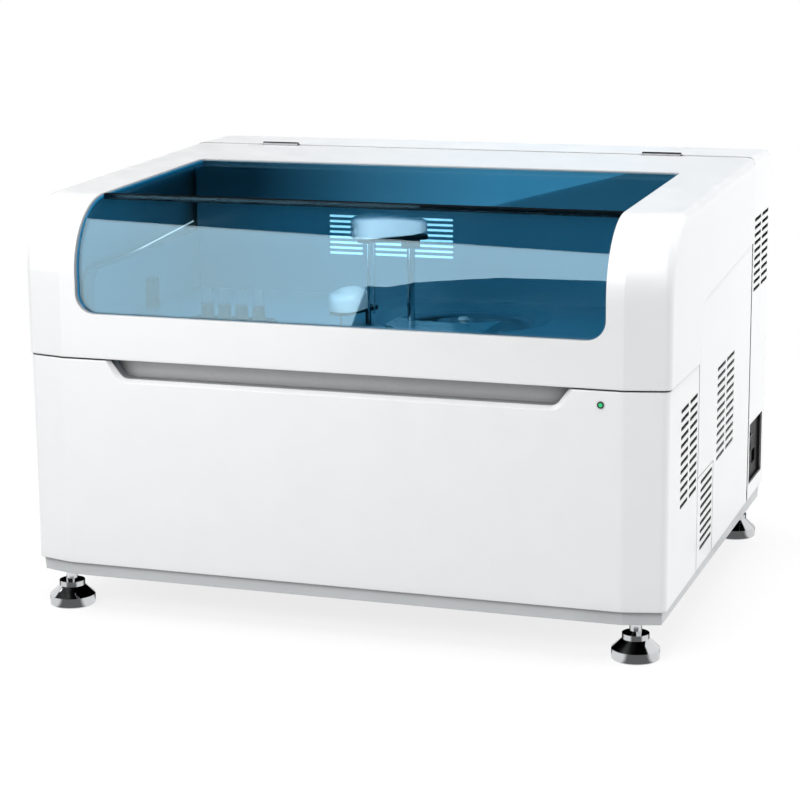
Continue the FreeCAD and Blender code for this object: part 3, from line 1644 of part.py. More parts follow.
# Cuvette washer
wash_rise = 8.0
wash_height = 12.0
wash_half = 8.0
wash_span = 2
nozzle_radius = 1.0
nozzle_drop = 3.0
wash_carriage_drop = 73.0
wash_low_z = deck_z + wash_rise
nozzle_low_z = deck_z - nozzle_drop
wash_carriage_z = deck_z - wash_carriage_drop


def wash_angles():
    """The angles of the cuvettes under the washer's nozzles, centred on the washer's column."""
    towards = arm_angle(reaction_centre, wash_column) % 360
    pitch = 360 / cuvette_count
    nearest = min(cuvette_angles(), key=lambda turn: abs((turn - towards + 180) % 360 - 180))
    return [nearest + step * pitch for step in range(-wash_span, wash_span + 1)]


def wash_head():
    """The washer: a curved head with a nozzle over each of its cuvettes, on a lifting column."""
    x, y = wash_column
    inner = cuvette_radius - wash_half
    outer = cuvette_radius + wash_half
    ring = rod(outer, wash_height, V(reaction_centre[0], reaction_centre[1], wash_low_z))
    ring = ring.cut(rod(inner, wash_height, V(reaction_centre[0], reaction_centre[1], wash_low_z)))
    angles = wash_angles()
    spread = 360 / cuvette_count
    reach = outer * 2
    corners = [reaction_centre, on_circle(reaction_centre, reach, angles[0] - spread / 2)]
    corners += [on_circle(reaction_centre, reach, angles[-1] + spread / 2)]
    sector = plan_prism(corners, wash_low_z, wash_low_z + wash_height)
    arm_end = on_circle(reaction_centre, cuvette_radius, angles[wash_span])
    arm = box(x - wash_half, x + wash_half, y, arm_end[1], wash_low_z, wash_low_z + wash_height)
    end = rod(wash_half, wash_height, V(x, y, wash_low_z))
    column = rod(wash_column_radius, wash_low_z - wash_carriage_z, V(x, y, wash_carriage_z))
    pieces = [ring.common(sector), arm, end, column]
    for angle in angles:
        nozzle_x, nozzle_y = on_circle(reaction_centre, cuvette_radius, angle)
        pieces.append(rod(nozzle_radius, wash_low_z - nozzle_low_z, V(nozzle_x, nozzle_y, nozzle_low_z)))
    return joined(pieces)


def column_guides():
    """The bushes under the deck that guide the three columns, and the rails of the two carriages."""
    guides = []
    low = deck_z - dish_drop - deck_wall
    for centre, radius in ((probe_column, probe_column_radius), (mixer_column, mixer_column_radius),
                           (wash_column, wash_column_radius)):
        top = low if centre == probe_column else deck_z - deck_wall
        bush = rod(radius + panel_wall, dish_drop, V(centre[0], centre[1], top - dish_drop))
        guides.append(bush.cut(rod(radius + column_gap, case_height, V(centre[0], centre[1], 0))))
    rail_top = low - dish_drop * 2
    guides.append(carriage_rail(probe_column, carriage_size, tray_floor_z, rail_top))
    guides.append(carriage_rail(mixer_column, mixer_size, tray_floor_z, rail_top))
    return guides


# Syringe pump
syringe_side = 187.5
syringe_setback = 115.0
syringe_radius = 9.0
syringe_bore = 7.0
syringe_drop = 148.0
syringe_length = 90.0
piston_gap = 0.06
piston_height = 8.0
plunger_radius = 2.5
plunger_block = 22.0
plunger_rest = 45.0
syringe_x = body_half - syringe_side
syringe_y = front_y + syringe_setback
syringe_low_z = deck_z - syringe_drop


def syringe_barrel():
    """The glass barrel of the syringe pump, closed above but for its port, on its bracket."""
    barrel = rod(syringe_radius, syringe_length, V(syringe_x, syringe_y, syringe_low_z))
    bore = rod(syringe_bore, syringe_length - panel_wall * 2, V(syringe_x, syringe_y, syringe_low_z))
    port = rod(plunger_radius / 2, syringe_length * 2, V(syringe_x, syringe_y, syringe_low_z))
    return barrel.cut([bore, port])


def syringe_plunger():
    """The plunger: piston, rod and the block that its screw drives."""
    x, y = syringe_x, syringe_y
    piston_z = syringe_low_z + plunger_rest
    piston = rod(syringe_bore - piston_gap, piston_height, V(x, y, piston_z))
    bar_low = syringe_low_z - plunger_rest
    bar = rod(plunger_radius, piston_z - bar_low, V(x, y, bar_low))
    half = plunger_block / 2
    block = box(x - half, x + half, y - half, y + half, bar_low - panel_wall * 3, bar_low)
    return joined([piston, bar, block])


def syringe_mount():
    """The frame's upright for the syringe pump, with a clamp round the barrel and a foot on the tray."""
    x, y = syringe_x, syringe_y
    back = y + plunger_block
    low = tray_floor_z
    top = syringe_low_z + syringe_length
    plate = box(x - plunger_block, x + plunger_block, back, back + panel_wall, low, top)
    arm_z = syringe_low_z + panel_wall * 3
    half = syringe_radius + panel_wall
    clamp = box(x - half, x + half, y - half, back, arm_z, arm_z + panel_wall * 4)
    clamp = clamp.cut(rod(syringe_radius + piston_gap, case_height, V(x, y, 0)))
    foot = box(x - plunger_block, x + plunger_block, y - plunger_block, back, low, low + panel_wall)
    return joined([plate, clamp, foot])


# Inner frame
post_size = 25.0
post_inset = 34.0
front_post_setback = 65.0
rear_post_setback = 50.0
beam_depth = 26.0
beam_height = 20.0
front_post_y = front_y + front_post_setback
rear_post_y = rear_y - rear_post_setback


def inner_frame():
    """The welded frame: four posts on the tray, rails under the deck and a beam under the hinges."""
    low = tray_floor_z
    deck_low = deck_z - deck_wall - fit_gap
    hinge_low = hinge_z - hinge_radius - panel_wall - fit_gap
    x1 = body_half - post_inset
    x0 = x1 - post_size
    pieces = []
    for side in SIDES:
        a, b = sorted((side * x0, side * x1))
        pieces.append(box(a, b, front_post_y, front_post_y + post_size, low, deck_low))
        pieces.append(box(a, b, rear_post_y, rear_post_y + post_size, low, hinge_low))
        pieces.append(box(a, b, front_post_y, rear_post_y, deck_low - post_size, deck_low))
        pieces.append(box(a, b, hinge_y, rear_post_y, hinge_low - beam_height, hinge_low))
    pieces.append(box(-x1, x1, hinge_y, hinge_y + beam_depth, hinge_low - beam_height, hinge_low))
    return joined(pieces)


# Power supply, control board and wash pump with its valves
supply_side, supply_margin = 377.5, 135.0
supply_width, supply_depth, supply_height = 210.0, 100.0, 62.0
board_side, board_gap, board_drop = 107.5, 42.0, 23.0
board_width, board_height, board_thickness = 300.0, 190.0, 2.0
chip_height = 6.0
chip_shares = (0.35, 0.7, 0.5, 0.8)
chip_first_share, chip_pitch_share = 0.6, 1.3
chip_low_share, chip_high_share = 0.2, 0.3
standoff_radius = 4.0
pump_side, pump_setback = 187.5, 270.0
pump_radius, pump_length = 26.0, 110.0
pump_head_share, pump_head_length_share = 1.15, 0.8
valve_size = 24.0
valve_count = 4
valve_pitch_share = 1.2
supply_x = body_half - supply_side
supply_y = rear_y - supply_margin
board_x = board_side - body_half
board_y = deck_rear_y + board_gap
board_z = deck_z - board_drop
pump_x = pump_side - body_half
pump_y = front_y + pump_setback


def power_supply():
    """The power supply's steel case, on the tray."""
    end = supply_y + supply_depth
    return box(supply_x, supply_x + supply_width, supply_y, end, tray_floor_z, tray_floor_z + supply_height)


def control_board():
    """The control board with its larger parts, on four pillars off the tub's rear wall."""
    y0 = board_y
    y1 = y0 + board_thickness
    pieces = [box(board_x, board_x + board_width, y0, y1, board_z, board_z + board_height)]
    step = board_width / 6
    low = board_z + board_height * chip_low_share
    for index, share in enumerate(chip_shares):
        x = board_x + step * (chip_first_share + index * chip_pitch_share)
        high = board_z + board_height * (chip_high_share + share / 2)
        pieces.append(box(x, x + step * share, y1, y1 + chip_height * (1 + share), low, high))
    wall_y = deck_rear_y + deck_wall + fit_gap
    inset = standoff_radius * 2
    for x in (board_x + inset, board_x + board_width - inset):
        for z in (deck_z + inset, board_z + board_height - inset):
            pieces.append(rod(standoff_radius, y0 - wall_y, V(x, wall_y, z), ALONG_Y))
    return joined(pieces)


def fluid_pump():
    """The wash pump on its foot, with a row of valves beside it."""
    low = tray_floor_z
    x, y, radius = pump_x, pump_y, pump_radius
    centre_z = low + radius + panel_wall * 2
    pump = rod(radius, pump_length, V(x, y, centre_z), ALONG_Y)
    foot = box(x - radius, x + radius, y, y + pump_length, low, centre_z - radius / 2)
    head_length = radius * pump_head_length_share
    head = rod(radius * pump_head_share, head_length, V(x, y - head_length, centre_z), ALONG_Y)
    pieces = [joined([pump, foot, head])]
    top = low + valve_size * 2
    for index in range(valve_count):
        start = x + radius * 2 + index * valve_size * valve_pitch_share
        body = box(start, start + valve_size, y, y + valve_size, low, top)
        centre = V(start + valve_size / 2, y + valve_size / 2, top)
        pieces.append(joined([body, rod(valve_size / 6, valve_size / 2, centre)]))
    return pieces


# Fan behind the rear panel
fan_hub_radius = 20.0
fan_blade_count = 7
fan_blade_gap = 1.5
fan_pitch = 38.0
blade_root_share = 0.8
blade_width_share = 0.56


def fan_y():
    """Front and back faces of the fan's frame."""
    back = rear_sheet_y()[0] - fit_gap
    return back - fan_depth, back


def fan_frame():
    """The fan's square frame with its bore, motor plate and spokes."""
    y0, y1 = fan_y()
    half = fan_size / 2
    points = rectangle(fan_x - half, fan_x + half, fan_z - half, fan_z + half)
    frame = front_prism(points, y0, y1, fan_size / 20)
    frame = frame.cut(rod(fan_bore_radius, fan_size, V(fan_x, y0 - fan_depth, fan_z), ALONG_Y))
    thin = fan_depth / 8
    plate = rod(fan_hub_radius, thin, V(fan_x, y0, fan_z), ALONG_Y)
    reach = fan_bore_radius + joint_gap
    bars = [box(fan_x - reach, fan_x + reach, y0, y0 + thin, fan_z - thin, fan_z + thin)]
    bars.append(box(fan_x - thin, fan_x + thin, y0, y0 + thin, fan_z - reach, fan_z + reach))
    return joined([frame, plate] + bars)


def fan_rotor():
    """The fan's hub and its slanting blades."""
    y0, y1 = fan_y()
    thin = fan_depth / 8
    start = y0 + thin + fit_gap
    end = y1 - thin
    hub = rod(fan_hub_radius, end - start, V(fan_x, start, fan_z), ALONG_Y)
    outer = fan_bore_radius - fan_blade_gap
    half = fan_hub_radius * blade_width_share
    mid = (start + end) / 2
    blade = box(fan_hub_radius * blade_root_share, outer, -half, half, -thin / 3, thin / 3)
    blade.rotate(V(0, 0, 0), ALONG_X, 180 - fan_pitch)
    blades = []
    for index in range(fan_blade_count):
        copy = blade.copy()
        copy.rotate(V(0, 0, 0), ALONG_Y, 360 * index / fan_blade_count)
        copy.translate(V(fan_x, mid, fan_z))
        blades.append(copy)
    bore = rod(outer, end - start, V(fan_x, start, fan_z), ALONG_Y)
    return joined([hub] + blades).common(bore)


def main():
    """Makes the folder and writes every sub-part."""
    os.makedirs("parts", exist_ok=True)
    save("front_cover", front_cover())
    save("lamp_bezel", lamp_bezel())
    save("status_lamp", status_lamp())
    panel = side_panel()
    save("side_panel_right", panel)
    save("side_panel_left", mirrored(panel))
    grille = filter_grille()
    save("filter_grilles", [grille, mirrored(grille)])
    save("rear_cover", rear_cover())
    save("rear_panel", rear_panel())
    save("rear_fittings", rear_fittings())
    save("inlet_housing", inlet_housing())
    save("power_switch", power_switch())
    save("lid_shell", lid_shell())
    save("window_front", window_front())
    save("window_top", window_top())
    save("window_strip", window_strip())
    save("hinge_bases", [hinge_part(side, True) for side in SIDES])
    save("hinge_wings", [hinge_part(side, False) for side in SIDES])
    save("hinge_pins", hinge_pins())
    save("base_tray", base_tray())
    for name, centre in feet.items():
        save(name, levelling_foot(centre))
    save("deck_liner", deck_liner())
    cheek = deck_cheek()
    save("deck_cheeks", [cheek, mirrored(cheek)])
    save("rack_well", rack_well())
    save("louvre_light", louvre_light())
    bracket = guide_bracket()
    save("guide_brackets", [bracket, mirrored(bracket)])
    save("case_screws", case_screws())
    save("tube_rack", tube_rack())
    save("sample_tubes", sample_tubes())
    save("reagent_bowl", reagent_bowl())
    save("reagent_tray", reagent_tray())
    save("reagent_bottles", reagent_bottles())
    save("reagent_cover", reagent_cover())
    save("cover_knob", cover_knob())
    save("reaction_bath", reaction_bath())
    save("reaction_rotor", reaction_rotor())
    save("cuvettes", cuvettes())
    save("rotor_motors", rotor_motors())
    save("arm_platform", arm_platform())
    save("probe_head", probe_head())
    save("probe_base", probe_base())
    save("probe_column", probe_column_bar())
    save("probe_needles", probe_needles())
    save("probe_carriage", carriage(probe_column, probe_column_radius, carriage_z, carriage_size))
    save("mixer_hood", mixer_hood())
    save("mixer_plate", mixer_plate())
    save("mixer_paddle", mixer_paddle())
    save("mixer_carriage", carriage(mixer_column, mixer_column_radius, mixer_carriage_z, mixer_size))
    save("wash_head", wash_head())
    save("column_guides", column_guides())
    save("syringe_barrel", syringe_barrel())
    save("syringe_plunger", syringe_plunger())
    save("inner_frame", [inner_frame(), syringe_mount()])
    save("power_supply", power_supply())
    save("control_board", control_board())
    save("fluid_pump", fluid_pump())
    save("fan_frame", fan_frame())
    save("fan_rotor", fan_rotor())


main()
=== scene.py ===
"""Looks of a benchtop chemistry analyzer: a white case with a blue tinted window, on four turned feet."""

import logging
from dataclasses import dataclass
from enum import Enum
from typing import Any

import bpy
import numpy as np
from mathutils import Matrix, Vector

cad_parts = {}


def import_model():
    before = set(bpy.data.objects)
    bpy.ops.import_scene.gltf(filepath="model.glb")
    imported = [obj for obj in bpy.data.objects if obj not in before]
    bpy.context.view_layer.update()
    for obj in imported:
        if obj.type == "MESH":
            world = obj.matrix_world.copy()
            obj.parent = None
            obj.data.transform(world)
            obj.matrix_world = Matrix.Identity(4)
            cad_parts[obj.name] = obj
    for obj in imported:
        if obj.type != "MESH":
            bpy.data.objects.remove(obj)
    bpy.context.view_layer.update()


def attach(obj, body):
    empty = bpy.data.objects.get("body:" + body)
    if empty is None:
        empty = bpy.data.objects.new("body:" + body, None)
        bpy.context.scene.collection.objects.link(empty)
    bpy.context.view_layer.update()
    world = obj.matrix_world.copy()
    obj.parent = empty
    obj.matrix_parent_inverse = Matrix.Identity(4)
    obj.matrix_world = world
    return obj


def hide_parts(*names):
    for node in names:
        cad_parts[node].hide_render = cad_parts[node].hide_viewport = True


log = logging.getLogger("analyzer")

MM = 0.001

# Most of a noise's values lie between these two
NOISE_SPAN = {"From Min": 0.3, "From Max": 0.7}
# Sockets of a Mix node of colours: its share, its two colours, and its result
SHARE, FIRST, SECOND, MIXED = 0, 6, 7, 2

Point = tuple[float, float, float]
Pair = tuple[float, float]


# Colours and nodes

def linear(code: str) -> tuple[float, float, float, float]:
    """Turns an sRGB hex colour into linear light: c / 12.92 when dark, else ((c + 0.055) / 1.055) ^ 2.4.

    Args:
        code: Colour such as "#f2f3f3".

    Returns:
        Red, green, blue and full alpha, as Blender's sockets take them.
    """
    steps = [int(code[i:i + 2], 16) / 255 for i in (1, 3, 5)]
    light = [c / 12.92 if c <= 0.04045 else ((c + 0.055) / 1.055) ** 2.4 for c in steps]
    return (light[0], light[1], light[2], 1.0)


WHITE = linear("#ffffff")


def add(tree: bpy.types.NodeTree, kind: str, values: dict | None = None, links: dict | None = None,
        **settings: Any) -> bpy.types.Node:
    """Adds one node to a tree.

    Args:
        tree: Node tree that takes it.
        kind: Node type, without the words that all shader nodes start with.
        values: Input name or number, and the value that it gets.
        links: Input name or number, and the output socket that feeds it.
        settings: Properties of the node itself.

    Returns:
        The new node.
    """
    node = tree.nodes.new("ShaderNode" + kind)
    for name, value in settings.items():
        setattr(node, name, value)
    for name, value in (values or {}).items():
        node.inputs[name].default_value = value
    for name, socket in (links or {}).items():
        tree.links.new(socket, node.inputs[name])
    return node


def blank(name: str) -> tuple[bpy.types.Material, bpy.types.NodeTree, bpy.types.Node]:
    """Makes an empty node material.

    Args:
        name: Name of the material.

    Returns:
        The material, its tree and its output node.
    """
    material = bpy.data.materials.new(name)
    material.use_nodes = True
    tree = material.node_tree
    tree.nodes.clear()
    return material, tree, add(tree, "OutputMaterial")


# Finishes

class Lay(Enum):
    """Which way the marks of a surface run: none, or stretched along one axis."""

    EVEN = (1.0, 1.0, 1.0)
    ALONG_X = (0.03, 1.0, 1.0)
    ALONG_Z = (1.0, 1.0, 0.03)


@dataclass(frozen=True)
class Finish:
    """A moulded, painted or machined surface, with grain, cloudy colour, handling marks, worn edges and
    painted shade in its nooks.

    Real grain is about 0.1 mm across, too fine to show, so it is drawn some ten times as coarse.

    Attributes:
        name: Name of the material.
        colour: Its colour where it is palest.
        roughness: Its middle roughness.
        metallic: 1 for bare metal.
        coat: Strength of a clear gloss over it.
        grain_mm: Size of the grain.
        grain_depth_mm: Height of the grain.
        cloud_mm: Size of the cloudy patches.
        cloud_share: How much darker they are, on the average.
        smudge_mm: Size of the handling marks.
        smudge_share: How far they move the roughness up and down.
        edge_mm: Radius that sharp edges seem to have.
        edge_wear: How much of the edges has the worn colour.
        wear_colour: Colour of the worn edges.
        specular: Strength of the gloss, 0.5 for most plastics and paints.
        shade_mm: Reach of the painted shade in nooks and under overhangs.
        shade: How deep that painted shade goes.
        lay: Which way grain and handling marks run.
    """

    name: str
    colour: str
    roughness: float
    metallic: float = 0.0
    coat: float = 0.0
    grain_mm: float = 1.6
    grain_depth_mm: float = 0.02
    cloud_mm: float = 70.0
    cloud_share: float = 0.03
    smudge_mm: float = 35.0
    smudge_share: float = 0.18
    edge_mm: float = 0.0
    edge_wear: float = 0.0
    wear_colour: str = "#ffffff"
    specular: float = 0.5
    shade_mm: float = 0.0
    shade: float = 0.0
    lay: Lay = Lay.EVEN

    def make(self) -> bpy.types.Material:
        """Builds the node material.

        Returns:
            The material, with colour, roughness and bump all worked out from noise on object coordinates.
        """
        material, tree, output = blank(self.name)
        place = add(tree, "TexCoord").outputs["Object"]
        laid = add(tree, "Mapping", {"Scale": self.lay.value}, {"Vector": place}).outputs["Vector"]
        marks = add(tree, "TexNoise", {"Scale": 1 / (self.smudge_mm * MM), "Detail": 5.0,
                                       "Roughness": 0.65, "Distortion": 0.6}, {"Vector": laid})
        smudge = marks.outputs["Fac"]
        grain = add(tree, "TexNoise", {"Scale": 1 / (self.grain_mm * MM), "Detail": 2.0}, {"Vector": laid})
        relief = {"Height": grain.outputs["Fac"]}
        colour = self.clouded(tree, place)
        if self.edge_mm:
            rounded = add(tree, "Bevel", {"Radius": self.edge_mm * MM}, samples=4).outputs["Normal"]
            relief["Normal"] = rounded
            if self.edge_wear:
                colour = self.worn(tree, colour, rounded, smudge)
        # Painted shade: ambient occlusion darkens the colour in nooks and under overhangs
        if self.shade:
            colour = self.shaded(tree, colour)
        bump = add(tree, "Bump", {"Strength": 1.0, "Distance": self.grain_depth_mm * MM}, relief)
        surface = add(tree, "BsdfPrincipled",
                      {"Metallic": self.metallic, "Coat Weight": self.coat, "Coat Roughness": 0.08,
                       "Specular IOR Level": self.specular},
                      {"Base Color": colour, "Roughness": self.handled(tree, smudge),
                       "Normal": bump.outputs["Normal"]})
        tree.links.new(surface.outputs["BSDF"], output.inputs["Surface"])
        return material

    def clouded(self, tree: bpy.types.NodeTree, place: bpy.types.NodeSocket) -> bpy.types.NodeSocket:
        """Darkens the colour a little in soft patches.

        Args:
            tree: Node tree of the material.
            place: Object coordinates.

        Returns:
            The colour's socket.
        """
        cloud = add(tree, "TexNoise", {"Scale": 1 / (self.cloud_mm * MM), "Detail": 3.0, "Roughness": 0.6},
                    {"Vector": place})
        tone = add(tree, "MapRange", NOISE_SPAN, {"Value": cloud.outputs["Fac"]})
        full = linear(self.colour)
        dull = tuple(c * (1 - 2 * self.cloud_share) for c in full[:3]) + (1.0,)
        mixed = add(tree, "Mix", {FIRST: dull, SECOND: full}, {SHARE: tone.outputs["Result"]},
                    data_type="RGBA")
        return mixed.outputs[MIXED]

    def worn(self, tree: bpy.types.NodeTree, colour: bpy.types.NodeSocket, rounded: bpy.types.NodeSocket,
             smudge: bpy.types.NodeSocket) -> bpy.types.NodeSocket:
        """Rubs the edges in patches, where the rounded normal turns away from the flat one.

        Args:
            tree: Node tree of the material.
            colour: The colour so far.
            rounded: Normal of the rounded edges.
            smudge: Noise of the handling marks.

        Returns:
            The colour's socket.
        """
        flat = add(tree, "NewGeometry").outputs["Normal"]
        turn = add(tree, "VectorMath", links={0: flat, 1: rounded}, operation="DOT_PRODUCT")
        rim = add(tree, "MapRange", {"From Min": 0.995, "From Max": 0.85, "To Max": self.edge_wear},
                  {"Value": turn.outputs["Value"]})
        patchy = add(tree, "Math", links={0: rim.outputs["Result"], 1: smudge}, operation="MULTIPLY")
        mixed = add(tree, "Mix", {SECOND: linear(self.wear_colour)},
                    {SHARE: patchy.outputs["Value"], FIRST: colour}, data_type="RGBA")
        return mixed.outputs[MIXED]

    def shaded(self, tree: bpy.types.NodeTree, colour: bpy.types.NodeSocket) -> bpy.types.NodeSocket:
        """Darkens the colour where other surfaces close in: painted shade, worked out by ambient occlusion.

        Args:
            tree: Node tree of the material.
            colour: The colour so far.

        Returns:
            The colour's socket.
        """
        nook = add(tree, "AmbientOcclusion", {"Distance": self.shade_mm * MM}, samples=6)
        depth = add(tree, "MapRange", {"From Min": 0.25, "From Max": 0.95, "To Min": 1 - self.shade},
                    {"Value": nook.outputs["AO"]})
        dimmed = add(tree, "Mix", {SHARE: 1.0}, {FIRST: colour, SECOND: depth.outputs["Result"]},
                     data_type="RGBA", blend_type="MULTIPLY")
        return dimmed.outputs[MIXED]

    def handled(self, tree: bpy.types.NodeTree, smudge: bpy.types.NodeSocket) -> bpy.types.NodeSocket:
        """Moves the roughness up and down with the handling marks.

        Args:
            tree: Node tree of the material.
            smudge: Noise of the handling marks.

        Returns:
            The roughness's socket.
        """
        low = max(0.02, self.roughness * (1 - self.smudge_share))
        high = min(1.0, self.roughness * (1 + self.smudge_share))
        rough = add(tree, "MapRange", NOISE_SPAN | {"To Min": low, "To Max": high}, {"Value": smudge})
        return rough.outputs["Result"]


@dataclass(frozen=True)
class ClearSheet:
    """Clear or tinted acrylic or glass: passes tinted light, mirrors by Fresnel, and lets lamps through.

    Attributes:
        name: Name of the material.
        tint: Share of each colour that one face lets through.
        glow_and_haze_colour: Colour of the painted glow on its cut edges, and of its haze.
        lamp_tint: What a face lets through for the light of the lamps.
        mirror: Colour of what it mirrors.
        ior: Index of refraction, which sets how much it mirrors.
        body: Share of milky haze.
        scuff_mm: Size of the faint wiping marks.
        edge_axis: Number of the axis that its cut edges look along, or None for no such edges.
    """

    name: str
    tint: str
    glow_and_haze_colour: str
    lamp_tint: str = "#ffffff"
    mirror: str = "#ffffff"
    ior: float = 1.49
    body: float = 0.0
    scuff_mm: float = 40.0
    edge_axis: int | None = None

    def make(self) -> bpy.types.Material:
        """Builds the node material.

        Returns:
            The material: the sheet as the eye and mirrors meet it, and a plain tint for light of the lamps.
        """
        material, tree, output = blank(self.name)
        shown = self.faces(tree)
        if self.body:
            milk = add(tree, "BsdfDiffuse", {"Color": linear(self.glow_and_haze_colour)})
            shown = add(tree, "MixShader", {0: self.body},
                        {1: shown, 2: milk.outputs["BSDF"]}).outputs["Shader"]
        if self.edge_axis is not None:
            shown = self.cut_edges(tree, shown)
        path = add(tree, "LightPath")
        lamp_ray = add(tree, "Math", operation="MAXIMUM",
                       links={0: path.outputs["Is Shadow Ray"], 1: path.outputs["Is Diffuse Ray"]})
        open_air = add(tree, "BsdfTransparent", {"Color": linear(self.lamp_tint)})
        choice = add(tree, "MixShader",
                     links={0: lamp_ray.outputs["Value"], 1: shown, 2: open_air.outputs["BSDF"]})
        tree.links.new(choice.outputs["Shader"], output.inputs["Surface"])
        return material

    def faces(self, tree: bpy.types.NodeTree) -> bpy.types.NodeSocket:
        """Mixes what the sheet lets through with what it mirrors, by Fresnel.

        Args:
            tree: Node tree of the material.

        Returns:
            The shader's socket.
        """
        place = add(tree, "TexCoord").outputs["Object"]
        smear = add(tree, "TexNoise", {"Scale": 1 / (self.scuff_mm * MM), "Detail": 6.0, "Roughness": 0.7},
                    {"Vector": place})
        scuffed = add(tree, "MapRange", {"From Min": 0.5, "From Max": 0.9, "To Min": 0.0, "To Max": 0.03},
                      {"Value": smear.outputs["Fac"]})
        through = add(tree, "BsdfTransparent", {"Color": linear(self.tint)})
        mirror = add(tree, "BsdfGlossy", {"Color": linear(self.mirror)},
                     {"Roughness": scuffed.outputs["Result"]})
        inside = add(tree, "NewGeometry").outputs["Backfacing"]
        bend = add(tree, "MapRange", {"To Min": self.ior, "To Max": 1 / self.ior}, {"Value": inside})
        share = add(tree, "Fresnel", links={"IOR": bend.outputs["Result"]})
        sheet = add(tree, "MixShader", links={0: share.outputs["Fac"], 1: through.outputs["BSDF"],
                                              2: mirror.outputs["BSDF"]})
        return sheet.outputs["Shader"]

    def cut_edges(self, tree: bpy.types.NodeTree, shown: bpy.types.NodeSocket) -> bpy.types.NodeSocket:
        """Paints a glow in the sheet's own colour on the faces that look along edge_axis: painted light for
        the brightness of cut edges.

        Args:
            tree: Node tree of the material.
            shown: Shader of the sheet's faces.

        Returns:
            The shader's socket.
        """
        parts = add(tree, "SeparateXYZ", links={0: add(tree, "NewGeometry").outputs["True Normal"]})
        along = add(tree, "Math", links={0: parts.outputs[self.edge_axis]}, operation="ABSOLUTE")
        cut = add(tree, "Math", {1: 0.7}, {0: along.outputs["Value"]}, operation="GREATER_THAN")
        # Painted light: the faces of the cut edges glow by emission
        glow = add(tree, "Emission", {"Color": linear(self.glow_and_haze_colour), "Strength": 0.7})
        rim = add(tree, "MixShader",
                  links={0: cut.outputs["Value"], 1: shown, 2: glow.outputs["Emission"]})
        return rim.outputs["Shader"]


@dataclass(frozen=True)
class Glow:
    """A glowing lens or diffuser: an even glow with a faint mottle, under a smooth surface.

    Attributes:
        name: Name of the material.
        colour: Colour of the glow.
        strength: Its middle brightness.
        spot_mm: Size of the mottle.
        mottle: How far the mottle moves the brightness.
    """

    name: str
    colour: str
    strength: float
    spot_mm: float = 18.0
    mottle: float = 0.15

    def make(self) -> bpy.types.Material:
        """Builds the node material.

        Returns:
            The material.
        """
        material, tree, output = blank(self.name)
        place = add(tree, "TexCoord").outputs["Object"]
        spot = add(tree, "TexNoise", {"Scale": 1 / (self.spot_mm * MM), "Detail": 1.0}, {"Vector": place})
        level = add(tree, "MapRange", {"To Min": self.strength * (1 - self.mottle),
                                       "To Max": self.strength * (1 + self.mottle)},
                    {"Value": spot.outputs["Fac"]})
        lens = add(tree, "BsdfPrincipled",
                   {"Base Color": linear(self.colour), "Roughness": 0.15,
                    "Emission Color": linear(self.colour)},
                   {"Emission Strength": level.outputs["Result"]})
        tree.links.new(lens.outputs["BSDF"], output.inputs["Surface"])
        return material


# Injection-moulded ABS with a spark-eroded grain: satin near-white that painted shade greys only in nooks,
# slots and the finger recess
CASE_ABS = Finish("moulded_abs_case", "#f4f5f6", 0.40, coat=0.1, grain_mm=2.2, grain_depth_mm=0.03,
                  cloud_share=0.008, edge_mm=2.2, shade_mm=80.0, shade=0.95)
# The same plastic on the lid, a touch glossier: its shoulder takes a soft highlight, and painted shade
# darkens it at its seams
LID_ABS = Finish("moulded_abs_lid", "#f1f2f3", 0.36, coat=0.15, grain_mm=2.2, grain_depth_mm=0.03,
                 cloud_share=0.006, edge_mm=2.2, shade_mm=12.0, shade=0.6)
# Powder-coated sheet steel: white with a slight orange peel, and painted shade on the walls of its slots
PANEL_COAT = Finish("powder_coat_white", "#f3f4f5", 0.42, grain_mm=3.0, grain_depth_mm=0.05,
                    cloud_share=0.008, edge_mm=3.0, shade_mm=12.0, shade=0.6)
# The same coat in pale grey: a quiet band under the white case, darkened by painted shade under the case's
# overhang, and rubbed paler along its folds
TRAY_COAT = Finish("powder_coat_grey", "#cfd2d4", 0.45, grain_mm=2.4, grain_depth_mm=0.06,
                   cloud_share=0.02, edge_mm=1.0, edge_wear=0.4, wear_colour="#e4e6e8", shade_mm=30.0,
                   shade=0.8)
# Smooth ABS that wipes clean: a cool white with a clear sheen
TUB_ABS = Finish("wipe_clean_abs", "#e9eef1", 0.22, coat=0.2, grain_mm=4.0, grain_depth_mm=0.01,
                 cloud_share=0.01, edge_mm=1.4)
# Gloss-moulded ABS: white with small sharp highlights
ARM_ABS = Finish("moulded_abs_arm", "#f0f2f3", 0.30, coat=0.3, grain_mm=1.2, grain_depth_mm=0.01,
                 cloud_share=0.01, edge_mm=1.0)
# Open-cell dust foam: dead black without gloss, whose black also stands as painted shade inside the vent
# slots
SHADE_FOAM = Finish("open_cell_foam", "#050506", 0.95, grain_mm=0.7, grain_depth_mm=0.4, cloud_share=0.2,
              specular=0.0)
# Black moulded ABS: dark grey satin with paler rubbed edges
BLACK_ABS = Finish("moulded_abs_black", "#18191b", 0.42, grain_mm=0.9, grain_depth_mm=0.03,
                   cloud_share=0.08, edge_mm=0.6, edge_wear=0.35, wear_colour="#4a4c4f")
# Black ABS round the mains socket: nearly dead black, with edges that plugs have rubbed grey
INLET_ABS = Finish("moulded_abs_inlet", "#070708", 0.5, grain_mm=0.9, grain_depth_mm=0.03,
                   cloud_share=0.08, edge_mm=0.6, edge_wear=0.4, wear_colour="#5a5c5f", specular=0.25)
# Glossy moulded nylon: black with one sharp highlight
SWITCH_NYLON = Finish("glossy_nylon_black", "#141416", 0.18, coat=0.3, grain_mm=1.0,
                      grain_depth_mm=0.005, cloud_share=0.05, edge_mm=0.6)
